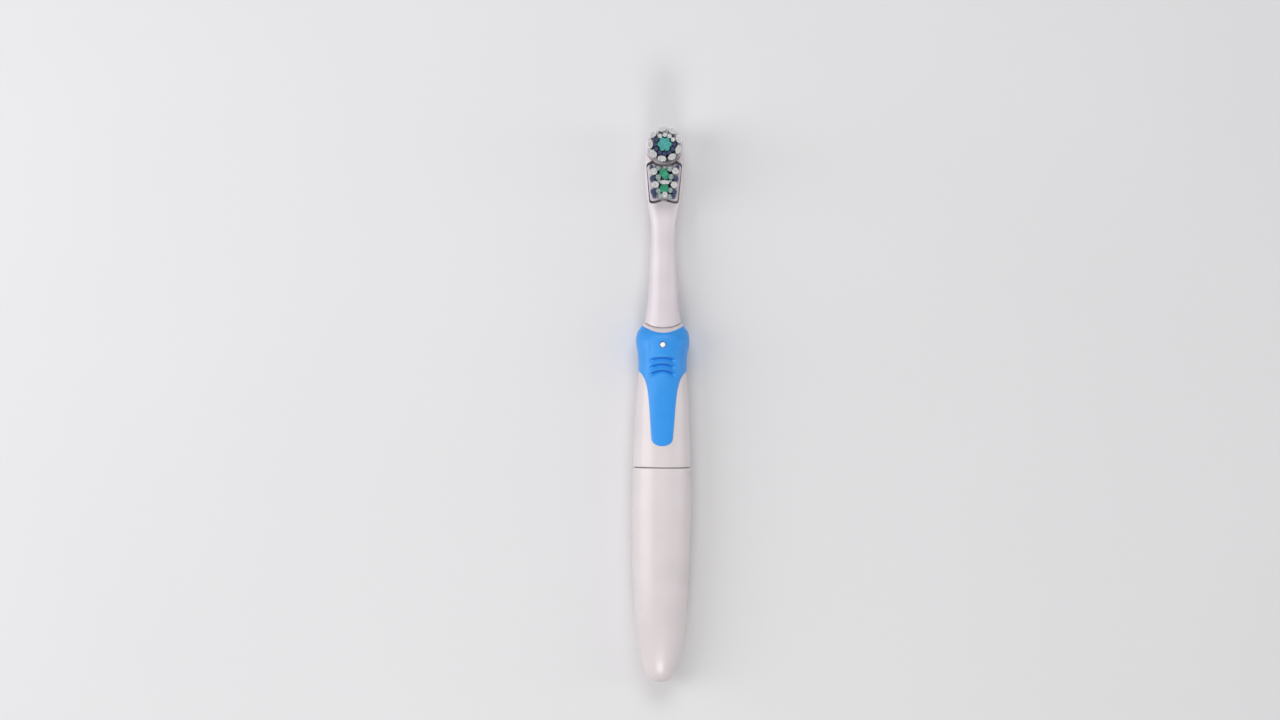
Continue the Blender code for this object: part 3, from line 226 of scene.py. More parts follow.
# Injection-moulded ABS with a pinch of pearl pigment: glossy, cool white, faintly cloudy, a soft orange peel.
# The pigment's flakes are too fine to show, so they are drawn as clouds of 16 and 5 mm.
def pearlAbs(name, tint, shade, gloss):
    mat = startMaterial(name)
    where = addNode(mat, "TexCoord").outputs["Object"]
    cloud = addNode(mat, "TexNoise", {"Vector": where, "Scale": 1 / (16 * mm), "Detail": 2.0, "Roughness": 0.4})
    flake = addNode(mat, "TexNoise", {"Vector": where, "Scale": 1 / (5 * mm), "Detail": 2.0})
    ramp = addNode(mat, "ValToRGB", {"Fac": cloud.outputs["Fac"]}, ((0.36, shade), (0.64, tint)))
    rough = addNode(mat, "MapRange", {"Value": flake.outputs["Fac"], "From Min": 0.3, "From Max": 0.7,
                                      "To Min": gloss - 0.02, "To Max": gloss + 0.03})
    peel = addNode(mat, "TexNoise", {"Vector": where, "Scale": 1 / (2.6 * mm), "Detail": 0.0})
    bump = addNode(mat, "Bump", {"Height": peel.outputs["Fac"], "Strength": 0.02, "Distance": 0.02 * mm})
    shader = addNode(mat, "BsdfPrincipled", {
        "Base Color": ramp.outputs["Color"], "Roughness": rough.outputs[0], "Normal": bump.outputs["Normal"],
        "IOR": 1.53, "Subsurface Weight": 0.12, "Subsurface Radius": (1.2 * mm, 0.9 * mm, 0.9 * mm),
        "Coat Weight": 0.1, "Coat Roughness": 0.2})
    addNode(mat, "OutputMaterial", {"Surface": shader.outputs["BSDF"]})
    return mat


# Overmoulded thermoplastic rubber: satin, even blue, a spark-eroded grain that dulls the gloss.
# The grain is drawn 0.22 mm wide, several times the real one, or it wouldn't show.
def gripRubber():
    mat = startMaterial("gripRubber")
    where = addNode(mat, "TexCoord").outputs["Object"]
    cloud = addNode(mat, "TexNoise", {"Vector": where, "Scale": 1 / (7 * mm), "Detail": 2.0})
    ramp = addNode(mat, "ValToRGB", {"Fac": cloud.outputs["Fac"]}, ((0.3, "#248de2"), (0.75, "#2b95e8")))
    grain = addNode(mat, "TexNoise", {"Vector": where, "Scale": 1 / (0.22 * mm), "Detail": 2.0})
    rough = addNode(mat, "MapRange", {"Value": grain.outputs["Fac"], "From Min": 0.3, "From Max": 0.7, "To Min": 0.4,
                                      "To Max": 0.52})
    bump = addNode(mat, "Bump", {"Height": grain.outputs["Fac"], "Strength": 0.16, "Distance": 0.04 * mm})
    shader = addNode(mat, "BsdfPrincipled", {
        "Base Color": ramp.outputs["Color"], "Roughness": rough.outputs[0], "Normal": bump.outputs["Normal"],
        "IOR": 1.5, "Sheen Weight": 0.12, "Sheen Roughness": 0.4})
    addNode(mat, "OutputMaterial", {"Surface": shader.outputs["BSDF"]})
    return mat


# Nylon filament: smooth, slightly see-through, each hair a little lighter or darker than the next
def nylonFilament(name, dark, light, glow):
    mat = startMaterial(name)
    shade = addNode(mat, "Attribute", attribute_name="shade").outputs["Fac"]
    ramp = addNode(mat, "ValToRGB", {"Fac": shade}, ((0.0, dark), (1.0, light)))
    where = addNode(mat, "TexCoord").outputs["Object"]
    fine = addNode(mat, "TexNoise", {"Vector": where, "Scale": 1 / (0.4 * mm), "Detail": 1.0})
    rough = addNode(mat, "MapRange", {"Value": fine.outputs["Fac"], "To Min": 0.24, "To Max": 0.42})
    shader = addNode(mat, "BsdfPrincipled", {
        "Base Color": ramp.outputs["Color"], "Roughness": rough.outputs[0], "IOR": 1.53, "Subsurface Weight": glow,
        "Subsurface Radius": (1.0 * mm, 1.0 * mm, 1.0 * mm)})
    addNode(mat, "OutputMaterial", {"Surface": shader.outputs["BSDF"]})
    return mat


# A hard or soft moulding in one colour: matt, or glossy as the cell's printed wrap is, with a grain of grainSize
def mouldedPart(name, dark, light, roughness, grainSize, ior=1.5):
    mat = startMaterial(name)
    where = addNode(mat, "TexCoord").outputs["Object"]
    cloud = addNode(mat, "TexNoise", {"Vector": where, "Scale": 1 / (4 * mm), "Detail": 4.0})
    ramp = addNode(mat, "ValToRGB", {"Fac": cloud.outputs["Fac"]}, ((0.35, dark), (0.65, light)))
    grain = addNode(mat, "TexNoise", {"Vector": where, "Scale": 1 / (grainSize * mm), "Detail": 2.0})
    rough = addNode(mat, "MapRange", {"Value": grain.outputs["Fac"], "To Min": roughness - 0.08,
                                      "To Max": roughness + 0.1})
    bump = addNode(mat, "Bump", {"Height": grain.outputs["Fac"], "Strength": 0.15, "Distance": 0.04 * mm})
    shader = addNode(mat, "BsdfPrincipled", {
        "Base Color": ramp.outputs["Color"], "Roughness": rough.outputs[0], "Normal": bump.outputs["Normal"],
        "IOR": ior})
    addNode(mat, "OutputMaterial", {"Surface": shader.outputs["BSDF"]})
    return mat


# Plated or rolled metal: lines of the rolling along the brush, a few duller patches.
# The lines are coarser than real ones, so that they show.
def sheetMetal(name, dark, light, roughness, lineWidth):
    mat = startMaterial(name)
    where = addNode(mat, "TexCoord").outputs["Object"]
    drawn = addNode(mat, "Mapping", {"Vector": where, "Scale": (1, 0.04, 1)})
    lines = addNode(mat, "TexNoise", {"Vector": drawn.outputs["Vector"], "Scale": 1 / (lineWidth * mm),
                                      "Detail": 3.0})
    cloud = addNode(mat, "TexNoise", {"Vector": where, "Scale": 1 / (3 * mm), "Detail": 3.0})
    ramp = addNode(mat, "ValToRGB", {"Fac": cloud.outputs["Fac"]}, ((0.3, dark), (0.7, light)))
    rough = addNode(mat, "MapRange", {"Value": lines.outputs["Fac"], "To Min": roughness - 0.08,
                                      "To Max": roughness + 0.12})
    bump = addNode(mat, "Bump", {"Height": lines.outputs["Fac"], "Strength": 0.12, "Distance": 0.02 * mm})
    shader = addNode(mat, "BsdfPrincipled", {
        "Base Color": ramp.outputs["Color"], "Roughness": rough.outputs[0], "Normal": bump.outputs["Normal"],
        "Metallic": 1.0})
    addNode(mat, "OutputMaterial", {"Surface": shader.outputs["BSDF"]})
    return mat


whiteHandle = pearlAbs("handlePearlAbs", "#d9d1d3", "#d4ccce", 0.33)
whiteNeck = pearlAbs("neckGlossAbs", "#d8d0d5", "#d3cbd1", 0.3)
whiteButton = pearlAbs("buttonWhiteAbs", "#f6f5f3", "#efeeec", 0.22)
blueGrip = gripRubber()
whiteNylon = nylonFilament("whiteNylon", "#eceff3", "#fdfdfe", 0.8)
navyNylon = nylonFilament("navyNylon", "#2b3d62", "#66789f", 0.4)
tealNylon = nylonFilament("tealNylon", "#30b3ac", "#86dcd8", 0.6)
greenNylon = nylonFilament("greenNylon", "#1ba37c", "#62c9a8", 0.6)
# Pale teal nylon for the short tufts between the pad's coloured ones: the teal tint is their own, and the grey of
# their darker hairs is painted shade from the taller tufts around them
paleNylonPaintedShade = nylonFilament("paleTealNylonPaintedShade", "#aac4c2", "#d8e8e6", 0.6)
grayCage = mouldedPart("cageGrayAbs", "#82868b", "#888c91", 0.42, 0.25)
blackNitrile = mouldedPart("sealBlackNitrile", "#141414", "#1e1e1f", 0.6, 0.18)
naturalAcetal = mouldedPart("gearNaturalAcetal", "#e4e0d2", "#eeebdf", 0.36, 0.3, 1.48)
paperBoard = mouldedPart("boardPaperLaminate", "#6b4a24", "#80592e", 0.55, 0.4)
cellWrap = mouldedPart("cellPlainWrap", "#292b2f", "#2e3034", 0.28, 2.5)
cellBandGray = mouldedPart("cellBandWrap", "#a3a6a9", "#adb0b3", 0.28, 2.5)
nickelSteel = sheetMetal("motorNickelSteel", "#b9b9bb", "#d2d2d2", 0.26, 0.3)
springBrass = sheetMetal("stripSpringBrass", "#c0994e", "#d9b566", 0.28, 0.3)
print("materials made")

# shells of the handle

handle = {
    # station, half width, front, back
    "rows": (
        (0.00, 1.21, 1.14, 1.18), (0.88, 3.75, 3.65, 3.30), (2.35, 5.20, 5.13, 4.72), (5.00, 6.66, 6.50, 6.25),
        (8.82, 7.93, 7.75, 7.79), (13.96, 9.14, 8.89, 9.20), (20.58, 10.10, 9.69, 10.38),
        (29.40, 10.95, 10.49, 11.33), (41.16, 11.49, 10.94, 11.80), (55.86, 11.98, 11.29, 11.80),
        (73.50, 12.10, 11.40, 11.80), (91.14, 11.80, 11.23, 11.80), (105.84, 11.25, 10.89, 11.56),
        (118.34, 10.65, 10.37, 11.21), (124.21, 10.10, 10.09, 11.03), (130.09, 9.68, 9.92, 10.97),
        (134.50, 10.04, 10.03, 11.09), (139.94, 10.81, 9.92, 11.09), (143.32, 10.16, 9.12, 10.27),
        (145.53, 8.71, 7.87, 8.73), (147.00, 7.93, 6.95, 7.08),
    ),
    "power": 2.25, "sides": 72, "wall": 1.4, "coverEnd": 88.0, "coverFloor": 12.0, "housingStart": 88.3,
    "end": 147.0,
}
# The nose that the neck is pushed on, with the bore of the shaft and the pocket of its bush
nose = {"width": 5.0, "depth": 4.3, "power": 2.6, "end": 157.0, "bore": 1.6, "pocket": 3.05, "pocketStart": 152.8}


def handleRing(station, inset=0.0):
    front = readRows(handle["rows"], station, 2)
    share = min(max(1 - (handle["end"] - station) / lip["run"], 0), 1)
    return ring(station, readRows(handle["rows"], station, 1) - inset, front - inset,
                readRows(handle["rows"], station, 3) - inset, handle["power"], lip["dip"] * share**2,
                max(inset, 0), front)


def noseRing(station, grow=0.0, dip=0.0):
    return ring(station, nose["width"] + grow, nose["depth"] + grow, nose["depth"] + grow, nose["power"], dip)


coverStations = [0.0, 0.35, 0.88, 1.55, 2.35, 3.5, 5.0, 6.8, 8.82, 11.3, 13.96, 17.0, 20.58, 24.8]
coverStations += [29.4] + steps(29.4, 87.6, 3.0) + [87.6]
wall, coverEnd = handle["wall"], handle["coverEnd"]
rings = [roundRing(0.0, 0.0)] + [handleRing(s) for s in coverStations]
rings += [handleRing(coverEnd - 0.1, 0.06), handleRing(coverEnd, 0.25), handleRing(coverEnd, wall - 0.2)]
rings += [handleRing(coverEnd - 0.2, wall)]
rings += [handleRing(s, wall) for s in (84, 76, 68, 60, 50, 40, 30, 22, 16, 13)]
rings += [handleRing(handle["coverFloor"], wall + 0.2), roundRing(handle["coverFloor"], 0)]
cover = loftRings("batteryCoverShell", rings, handle["sides"])
addModifier(cover, "SUBSURF", levels=1, render_levels=1)
dress(settle(cover), whiteHandle, "cover", "white_plastic", "battery_cover")

# rubber grip

grip = {
    # The rubber is worked flat, unroll to each side of the front, and set on the handle
    "unroll": 33.0, "tip": 97.0, "wrap": 128.0, "top": 146.1, "proud": 0.18, "edge": 0.5, "thickness": 0.8,
    "sunk": 0.95,
    # station and half width of the tongue, then its corners on the flat sheet
    "tongue": ((100.10, 4.36), (106.30, 4.84), (113.12, 5.32), (118.70, 5.93), (122.73, 6.78), (125.83, 8.23),
               (128.0, 10.41)),
    "sideEnd": (126.0, 126.4, 126.75, 127.05, 127.3),
    "corners": ((16.5, 127.62), (19.0, 127.86), (22.0, 127.97), (26.0, 128.0), (33.0, 128.0)),
    # three thumb ridges: a crest over a groove with a steep upper wall, sagging to the sides
    "grooves": (133.3, 130.7, 128.1), "span": 5.5, "fall": 1.35, "crest": 0.34, "crestRun": 1.1,
    "grooveDepth": 1.2, "grooveRun": 2.25, "drop": 0.35, "rise": 1.3,
    # how much thicker the rubber is there, and where
    "room": 0.6, "roomStart": 121.5, "roomEnd": 136.5, "roomHalf": 8.5,
    # cuts across and along the sheet, closest at the grooves
    "grooveCuts": (1.1, 0.8, 0.5, 0.25, 0.1, 0, -0.1, -0.22, -0.35, -0.6, -0.95, -1.35, -1.8, -2.25),
    "slice": 0.7, "spanCuts": (3.85, 4.55, 5.25, 5.95), "insets": (0.08, 0.12, 0.3), "edgeLift": 0.03,
    "panelWidth": 5.9, "panelStart": 120.5, "panelEnd": 141.5, "panelDepth": 0.2,
    "button": 138.2, "hole": 1.75, "topMiddle": 143.05, "topRise": (0.035, 0.0007),
}


# Turn from the front, as a share of half a turn, at a distance x from the middle
def shareOf(x, station):
    width = readRows(handle["rows"], station, 1)
    return math.copysign(math.asin(min(abs(x) / width, 1) ** (handle["power"] / 2)) / math.pi, x)


def fade(value, start, end):
    t = min(max((value - start) / (end - start), 0), 1)
    return t * t * (3 - 2 * t)


# A point of the unrolled grip set on the handle, raised by lift
def onHandle(across, station, lift):
    return handleRing(station, -lift)(math.pi / 2 - across / grip["unroll"] * math.pi)


# The dip of the lip bends the rows, so this finds the row that lies at a real station
def rowAt(across, goal):
    row = goal(0) if callable(goal) else goal
    for _ in range(12):
        place = onHandle(across, row, 0)
        wanted = goal(place.x / mm) if callable(goal) else goal
        row += 0.8 * (wanted - stationOf(place))
    return min(row, grip["top"])


def stationOf(place):
    return place.y / mm + brush["length"] / 2


def edgeDistance(across, station, outline):
    best = 9.0
    for a, b in zip(outline, outline[1:]):
        run = b - a
        t = min(max(((across - a.x) * run.x + (station - a.y) * run.y) / run.length_squared, 0), 1)
        best = min(best, math.hypot(across - a.x - t * run.x, station - a.y - t * run.y))
    return best


def gripLift(x, row, station, distance):
    near = 1 - min(distance / grip["edge"], 1)
    lift = grip["edgeLift"] + (grip["proud"] - grip["edgeLift"]) * math.sqrt(1 - near**2)
    panel = fade(grip["panelWidth"] - abs(x), 0, 1.0) * fade(station, grip["panelStart"], grip["panelStart"] + 5)
    lift -= grip["panelDepth"] * panel * fade(grip["panelEnd"] - station, 0, 1.6)
    share = fade(1 - abs(x) / grip["span"], 0, 0.3)
    for middle in grip["grooves"]:
        off = row - middle
        if 0 <= off < grip["crestRun"]:
            lift += grip["crest"] * (1 - off / grip["crestRun"]) ** 2 * share
        elif -grip["grooveRun"] < off < 0:
            slope = (grip["grooveRun"] + off) / (grip["grooveRun"] - grip["drop"])
            deep = min(-off / grip["drop"], 1) * slope ** grip["rise"]
            lift -= (grip["grooveDepth"] * min(deep, 1) - grip["crest"] * max(1 + off / grip["drop"], 0)) * share
    return lift


# How far a row of the grooves sags towards its ends
def sag(x, row, distance):
    top, low = grip["grooves"][0], grip["grooves"][-1]
    fall = grip["fall"] * (1 + (0.5 * (top + low) - max(row, low)) / 8)
    window = fade(row, low - 8, low - 1.5) * fade(top + 4.5 - row, 0, 3) * fade(distance, 0.6, 3)
    window *= 1 - fade(abs(x), grip["span"], grip["span"] + 3)
    return fall * min(abs(x) / grip["span"], 1.1) ** 2 * window


tongueStart, tipRadius = grip["tongue"][0]
tipRun = tongueStart - grip["tip"]
tip = [Vector((shareOf(tipRadius * math.sin(a), 98) * grip["unroll"], tongueStart - tipRun * math.cos(a)))
       for a in [math.pi / 2 * i / 8 for i in range(8)]]
sideStations = [tongueStart, *steps(tongueStart, grip["sideEnd"][0], 0.75), *grip["sideEnd"]]
side = [Vector((shareOf(readRows(grip["tongue"], s, 1), s) * grip["unroll"], s)) for s in sideStations]
half = tip + side + [Vector(p) for p in grip["corners"]]
lower = [Vector((-p.x, p.y)) for p in reversed(half[1:])] + half


def topArc(x):
    return grip["topMiddle"] + grip["topRise"][0] * x**2 + grip["topRise"][1] * x**4


upper = [Vector((a, rowAt(a, topArc) if abs(a) < grip["unroll"] / 2 else grip["top"]))
         for a in [grip["unroll"] * (i / 45 - 1) for i in range(91)]]
for _ in range(4):
    heights = [p.y for p in upper]
    for p, a, b, c in zip(upper[1:-1], heights, heights[1:], heights[2:]):
        p.y = (a + 2 * b + c) / 4
outline = [lower, upper]
buttonRow = rowAt(0, grip["button"])


# The rubber is thicker under the grooves
def grooveRoom(across, station):
    along = fade(station, grip["roomStart"], grip["roomStart"] + 2) * fade(grip["roomEnd"] - station, 0, 2)
    return grip["room"] * along * fade(grip["roomHalf"] - abs(across), 0, 1.5)


# The housing's ring, sunk where the rubber covers it
def underGrip(station):
    def point(turn):
        across = math.remainder(math.pi / 2 - turn, math.tau) * grip["unroll"] / math.pi
        start = min([p.y for p in half if p.x >= abs(across) - 1e-6] or [grip["wrap"]])
        end = min(p.y for p in upper if abs(p.x - across) < 1)
        if not start < station < end:
            return handleRing(station)(turn)
        distance = min(edgeDistance(across, station, line) for line in outline)
        return handleRing(station, (grip["sunk"] + grooveRoom(across, station)) * fade(distance, 0.7, 1.5))(turn)

    return point


# Lower rim, outside with the bed of the grip, nose, bore, and back down inside
start, end = handle["housingStart"], handle["end"]
rings = [handleRing(start + 0.2, wall), handleRing(start, wall - 0.2), handleRing(start, 0.25)]
rings += [handleRing(start + 0.1, 0.06), handleRing(start + 0.4)]
rings += [underGrip(s) for s in steps(start + 0.4, end - 0.4, 1.1)]
rings += [handleRing(end - 0.4), handleRing(end - 0.07, 0.06), handleRing(end, 0.25)]
rings += [noseRing(end, 0.3, lip["dip"]), noseRing(end + 0.1, 0, lip["dip"])]
rings += [noseRing(148.5, 0, 1.2), noseRing(150.5, 0, 0.3), noseRing(152)]
rings += [noseRing(nose["end"] - 0.7), noseRing(nose["end"] - 0.2, -0.15), noseRing(nose["end"], -0.6)]
rings += [roundRing(nose["end"], 3.3), roundRing(nose["end"] - 0.1, nose["pocket"])]
rings += [roundRing(nose["pocketStart"], nose["pocket"]), roundRing(nose["pocketStart"] - 0.1, nose["bore"])]
rings += [roundRing(146.3, nose["bore"]), handleRing(143, 2.6), handleRing(136, 2.5), handleRing(121, 2.5)]
rings += [handleRing(119, 1.5), handleRing(110, wall), handleRing(92, wall)]
housing = loftRings("upperHousingShell", rings, handle["sides"], joined=True)
addModifier(housing, "SUBSURF", levels=1, render_levels=1)
dress(settle(housing), whiteHandle, "handle", "white_plastic", "upper_housing")
print("cover and housing made")

# A flat sheet is cut, holed for the button and given its thickness, and then wrapped on the handle
bm = bmesh.new()
bm.faces.new([bm.verts.new((p.x, p.y, 0)) for p in lower + upper[::-1]])
for depth in grip["insets"]:
    sheet = max(bm.faces, key=lambda f: f.calc_area())
    bmesh.ops.inset_region(bm, faces=[sheet], thickness=depth, use_even_offset=True)
rows = steps(grip["tip"], 125.4, 0.9) + steps(134.5, grip["top"], 0.45)
rows += [m + off for m in grip["grooves"] for off in grip["grooveCuts"]] + [124.5, 125.0, 125.5]
reach = int(grip["unroll"] / grip["slice"])
columns = [i * grip["slice"] for i in range(-reach, reach + 1)]
columns += [sign * x for sign in (-1, 1) for x in grip["spanCuts"]]
slices = [((0, s, 0), (0, 1, 0)) for s in rows] + [((x, 0, 0), (1, 0, 0)) for x in columns]
for place, normal in slices:
    everything = bm.verts[:] + bm.edges[:] + bm.faces[:]
    bmesh.ops.bisect_plane(bm, geom=everything, dist=1e-4, plane_co=place, plane_no=normal)
middles = {f: f.calc_center_median() for f in bm.faces}
hole = [f for f, c in middles.items() if math.hypot(c.x, c.y - buttonRow) < grip["hole"]]
bmesh.ops.delete(bm, geom=hole, context="FACES")
made = bmesh.ops.extrude_face_region(bm, geom=bm.faces[:], use_keep_orig=True)["geom"]
for v in made:
    if isinstance(v, bmesh.types.BMVert):
        v.co.z = -grip["thickness"]
seam = [f for f in bm.faces if all(abs(v.co.x) > grip["unroll"] - 0.01 for v in f.verts)]
bmesh.ops.delete(bm, geom=seam, context="FACES_ONLY")
for v in bm.verts:
    across, row, under = v.co
    distance = min(edgeDistance(across, row, line) for line in outline)
    flat = onHandle(across, row, 0)
    x = flat.x / mm if abs(across) < grip["unroll"] / 2 else grip["unroll"]
    lift = under - grooveRoom(across, row) if under else gripLift(x, row, stationOf(flat), distance)
    v.co = onHandle(across, row - sag(x, row, distance), lift)
bmesh.ops.remove_doubles(bm, verts=bm.verts, dist=0.005 * mm)
bmesh.ops.recalc_face_normals(bm, faces=bm.faces)
dress(toObject("gripSleeveRubber", bm, 50), blueGrip, "handle", "blue_rubber", "grip_sleeve")

# A low ring round the button, which lines the hole: radius and height of its profile
surround = ((1.35, -1.1), (1.35, -0.2), (1.42, -0.02), (1.6, 0.1), (1.85, 0.12), (2.1, 0.06), (2.3, -0.08),
            (2.45, -0.4))


def onPanel(co):
    row = rowAt(0, grip["button"] + co.y)
    return onHandle(shareOf(co.x, row) * grip["unroll"], row, grip["proud"] - grip["panelDepth"] + co.z)


dress(spinPiece("buttonSurround", surround, 40, onPanel, 50), blueGrip, "handle", "blue_rubber")
print("grip made")

# button

button = {
    # radius and drop of the dome, then radius and depth of the stem and the flange that holds it in
    "dome": ((0.0, 0.0), (0.35, 0.03), (0.7, 0.13), (0.95, 0.32), (1.08, 0.6), (1.1, 0.9)),
    "stem": ((1.1, 6.7), (1.2, 6.5), (2.5, 6.5), (2.6, 6.4), (2.6, 5.4), (2.5, 5.3), (0.0, 5.3)),
}
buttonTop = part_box("power_button")[1].z / mm - brush["axisHeight"]
profile = [(r, buttonTop - drop) for r, drop in button["dome"]] + list(button["stem"])
dot = spinPiece("powerButtonDot", profile, 40, lambda co: spot(co.x, grip["button"] + co.y, co.z))
dress(dot, whiteButton, "button", "white_plastic", "power_button")
print("button made")

# neck

neck = {
    # station, half width, front, back, power
    "rows": (
        (147.30, 7.48, 6.49, 6.49, 2.2), (148.26, 7.36, 6.38, 6.38, 2.2), (150.09, 6.96, 6.14, 6.14, 2.2),
        (154.23, 6.44, 5.80, 5.80, 2.2), (158.28, 6.16, 5.52, 5.52, 2.2), (166.40, 5.76, 5.11, 5.11, 2.25),
        (174.68, 5.44, 4.69, 4.69, 2.3), (180.73, 5.16, 4.28, 4.28, 2.4), (185.11, 5.04, 4.04, 4.04, 2.5),
        (188.29, 5.28, 3.86, 3.86, 2.6), (191.08, 5.76, 3.73, 3.73, 2.7), (193.87, 6.32, 3.55, 3.66, 2.8),
        (196.25, 6.76, 3.42, 3.62, 2.9), (199.44, 7.20, 3.31, 3.59, 3.0), (203.42, 7.72, 3.21, 3.59, 3.0),
        (208.59, 8.08, 3.17, 3.59, 3.0), (212.97, 8.04, 3.17, 3.59, 3.0), (215.76, 7.68, 3.17, 3.52, 2.9),
        (218.94, 7.04, 3.11, 3.45, 2.8), (222.52, 5.84, 2.90, 3.24, 2.6), (224.91, 4.24, 2.55, 2.83, 2.5),
        (226.26, 2.40, 1.93, 2.14, 2.4),
    ),
    "start": 147.3, "dipRun": 9.0, "sides": 72, "roomFloor": -1.3, "roomTop": 7.0,
}
head = {
    "station": 219.4, "radius": 7.5, "room": 7.8, "sides": 96,
    # radius and depth of the plate's profile
    "profile": ((0.0, 2.2), (6.9, 2.2), (7.12, 2.3), (7.4, 2.28), (7.6, 2.12), (7.68, 1.85), (7.68, 1.0),
                (7.6, 0.75), (7.3, 0.6), (0.0, 0.6)),
}
pad = {"low": 197.1, "corner": 210.4, "lowWidth": 5.75, "highWidth": 7.0, "round": 1.2, "arch": 0.9, "arc": 8.6,
       "grow": 0.25, "bottom": 0.6, "top": 2.2, "rim": 0.3}


def neckRing(station, inset=0.0):
    rows = neck["rows"]
    left = max(1 - (station - neck["start"]) / neck["dipRun"], 0)
    return ring(station, readRows(rows, station, 1) - inset, readRows(rows, station, 2) - inset,
                readRows(rows, station, 3) - inset, readRows(rows, station, 4), lip["dip"] * left**2)


# The bore from its blind end, the socket for the nose, and then the outside up to the tip
rings = [roundRing(192, 0), roundRing(192, 2.1), roundRing(169, 2.2), roundRing(168, 2.7), roundRing(158, 2.7)]
rings += [noseRing(157.3, 0.1), noseRing(157, 0.3), noseRing(154, 0.3), noseRing(150.5, 0.3, 0.3)]
rings += [noseRing(148.5, 0.3, 1.2), noseRing(147.6, 0.3, lip["dip"]), noseRing(147.35, 0.6, lip["dip"])]
rings += [neckRing(147.3, 0.25), neckRing(147.36, 0.06), neckRing(147.6)]
rings += [neckRing(s) for s in steps(147.6, 225.6, 1.5)] + [neckRing(225.6), neckRing(226.26)]
rings += [ring(226.62, 1.5, 1.25, 1.4, 2.3), ring(226.84, 0.7, 0.6, 0.7, 2.2), roundRing(226.9, 0)]
neckShell = loftRings("neckShell", rings, neck["sides"])
addModifier(neckShell, "SUBSURF", levels=1, render_levels=1)
settle(neckShell)


# Outline of the pad: its top follows the round head and its lower edge arches up
def padOutline(grow, endGrow, arc):
    reach = pad["highWidth"] - 2 * pad["round"] + grow
    topTurn = math.asin(reach / arc)
    points = [(arc * math.sin(t), head["station"] - arc * math.cos(t))
              for t in [topTurn * (i / 12 - 1) for i in range(25)]]
    side, corner = pad["highWidth"] + grow, pad["corner"] + endGrow
    lowX, low = pad["lowWidth"] + grow, pad["low"] - endGrow
    right = [(side - 0.5, corner + 0.85), (side - 0.08, corner + 0.25), (side, corner - 0.3),
             (lowX + 0.02, low + pad["round"]), (lowX - 0.1, low + 0.62), (lowX - 0.42, low + 0.2),
             (lowX - pad["round"], low)]
    inner = lowX - pad["round"]
    right += [(inner * k / 8, low + pad["arch"] * (0.5 + 0.5 * math.cos(math.pi * k / 8)))
              for k in range(7, 0, -1)]
    return points + right + [(0, low + pad["arch"])] + [(-x, s) for x, s in reversed(right)]


# An outline of x and station, raised from bottom to top and rounded along both ends by rim
def prismOf(name, outline, bottom, top, rim=0.0):
    bm = bmesh.new()
    face = bm.faces.new([bm.verts.new((x, s, bottom)) for x, s in outline])
    made = bmesh.ops.extrude_face_region(bm, geom=[face])["geom"]
    upper = [g for g in made if isinstance(g, bmesh.types.BMVert)]
    bmesh.ops.translate(bm, verts=upper, vec=(0, 0, top - bottom))
    bmesh.ops.recalc_face_normals(bm, faces=bm.faces)
    if rim:
        ends = [e for e in bm.edges if abs(e.verts[0].co.z - e.verts[1].co.z) < 1e-6]
        bmesh.ops.bevel(bm, geom=ends, offset=rim, segments=3, profile=0.5, affect="EDGES", material=-1)
    for v in bm.verts:
        v.co = spot(v.co.x, v.co.y, v.co.z)
    return toObject(name, bm)


def rectangle(left, right, start, end):
    return [(left, start), (right, start), (right, end), (left, end)]


def circle(radius, station, sides):
    turns = [math.tau * i / sides for i in range(sides)]
    return [(radius * math.cos(a), station + radius * math.sin(a)) for a in turns]


def softenEdges(obj, width):
    addModifier(obj, "BEVEL", width=width * mm, segments=2, limit_method="ANGLE", angle_limit=math.radians(40),
                profile=0.5)
    return settle(obj)


def carve(obj, *cutters):
    for cutter in cutters:
        addModifier(obj, "BOOLEAN", operation="DIFFERENCE", object=cutter, solver="EXACT")
    settle(obj)
    for cutter in cutters:
        bpy.data.objects.remove(cutter)


# Room for the pad, longer than it by its travel, and for the round head
padRoom = prismOf("padRoom", padOutline(0.3, 1.2, head["radius"] + 0.2), neck["roomFloor"], neck["roomTop"])
headOutline = circle(head["room"], head["station"], head["sides"])
headRoom = prismOf("headRoom", headOutline, neck["roomFloor"], neck["roomTop"])
carve(neckShell, padRoom, headRoom)
dress(softenEdges(neckShell, 0.14), whiteNeck, "neck", "white_plastic", "neck_housing")
print("neck made")

# round head disc and pad plate

headPlate = spinPiece("roundHeadPlate", head["profile"], head["sides"],
                      lambda co: spot(co.x, head["station"] + co.y, co.z))
dress(headPlate, whiteNeck, "round_head", "white_plastic", "round_head_disc")
padPlate = prismOf("lowerPadPlate", padOutline(0, pad["grow"], pad["arc"]), pad["bottom"], pad["top"], pad["rim"])
dress(padPlate, whiteNeck, "push_rod", "white_plastic", "lower_pad_plate")
print("head plate and pad plate made")

# bristles

# Hairs a little thicker than the real ones, which keeps their number down
filament = {"radius": 0.105, "tip": 0.1, "spacing": 0.21, "root": 1.9, "flare": 1.05, "stray": 0.03,
            "uneven": 0.06}


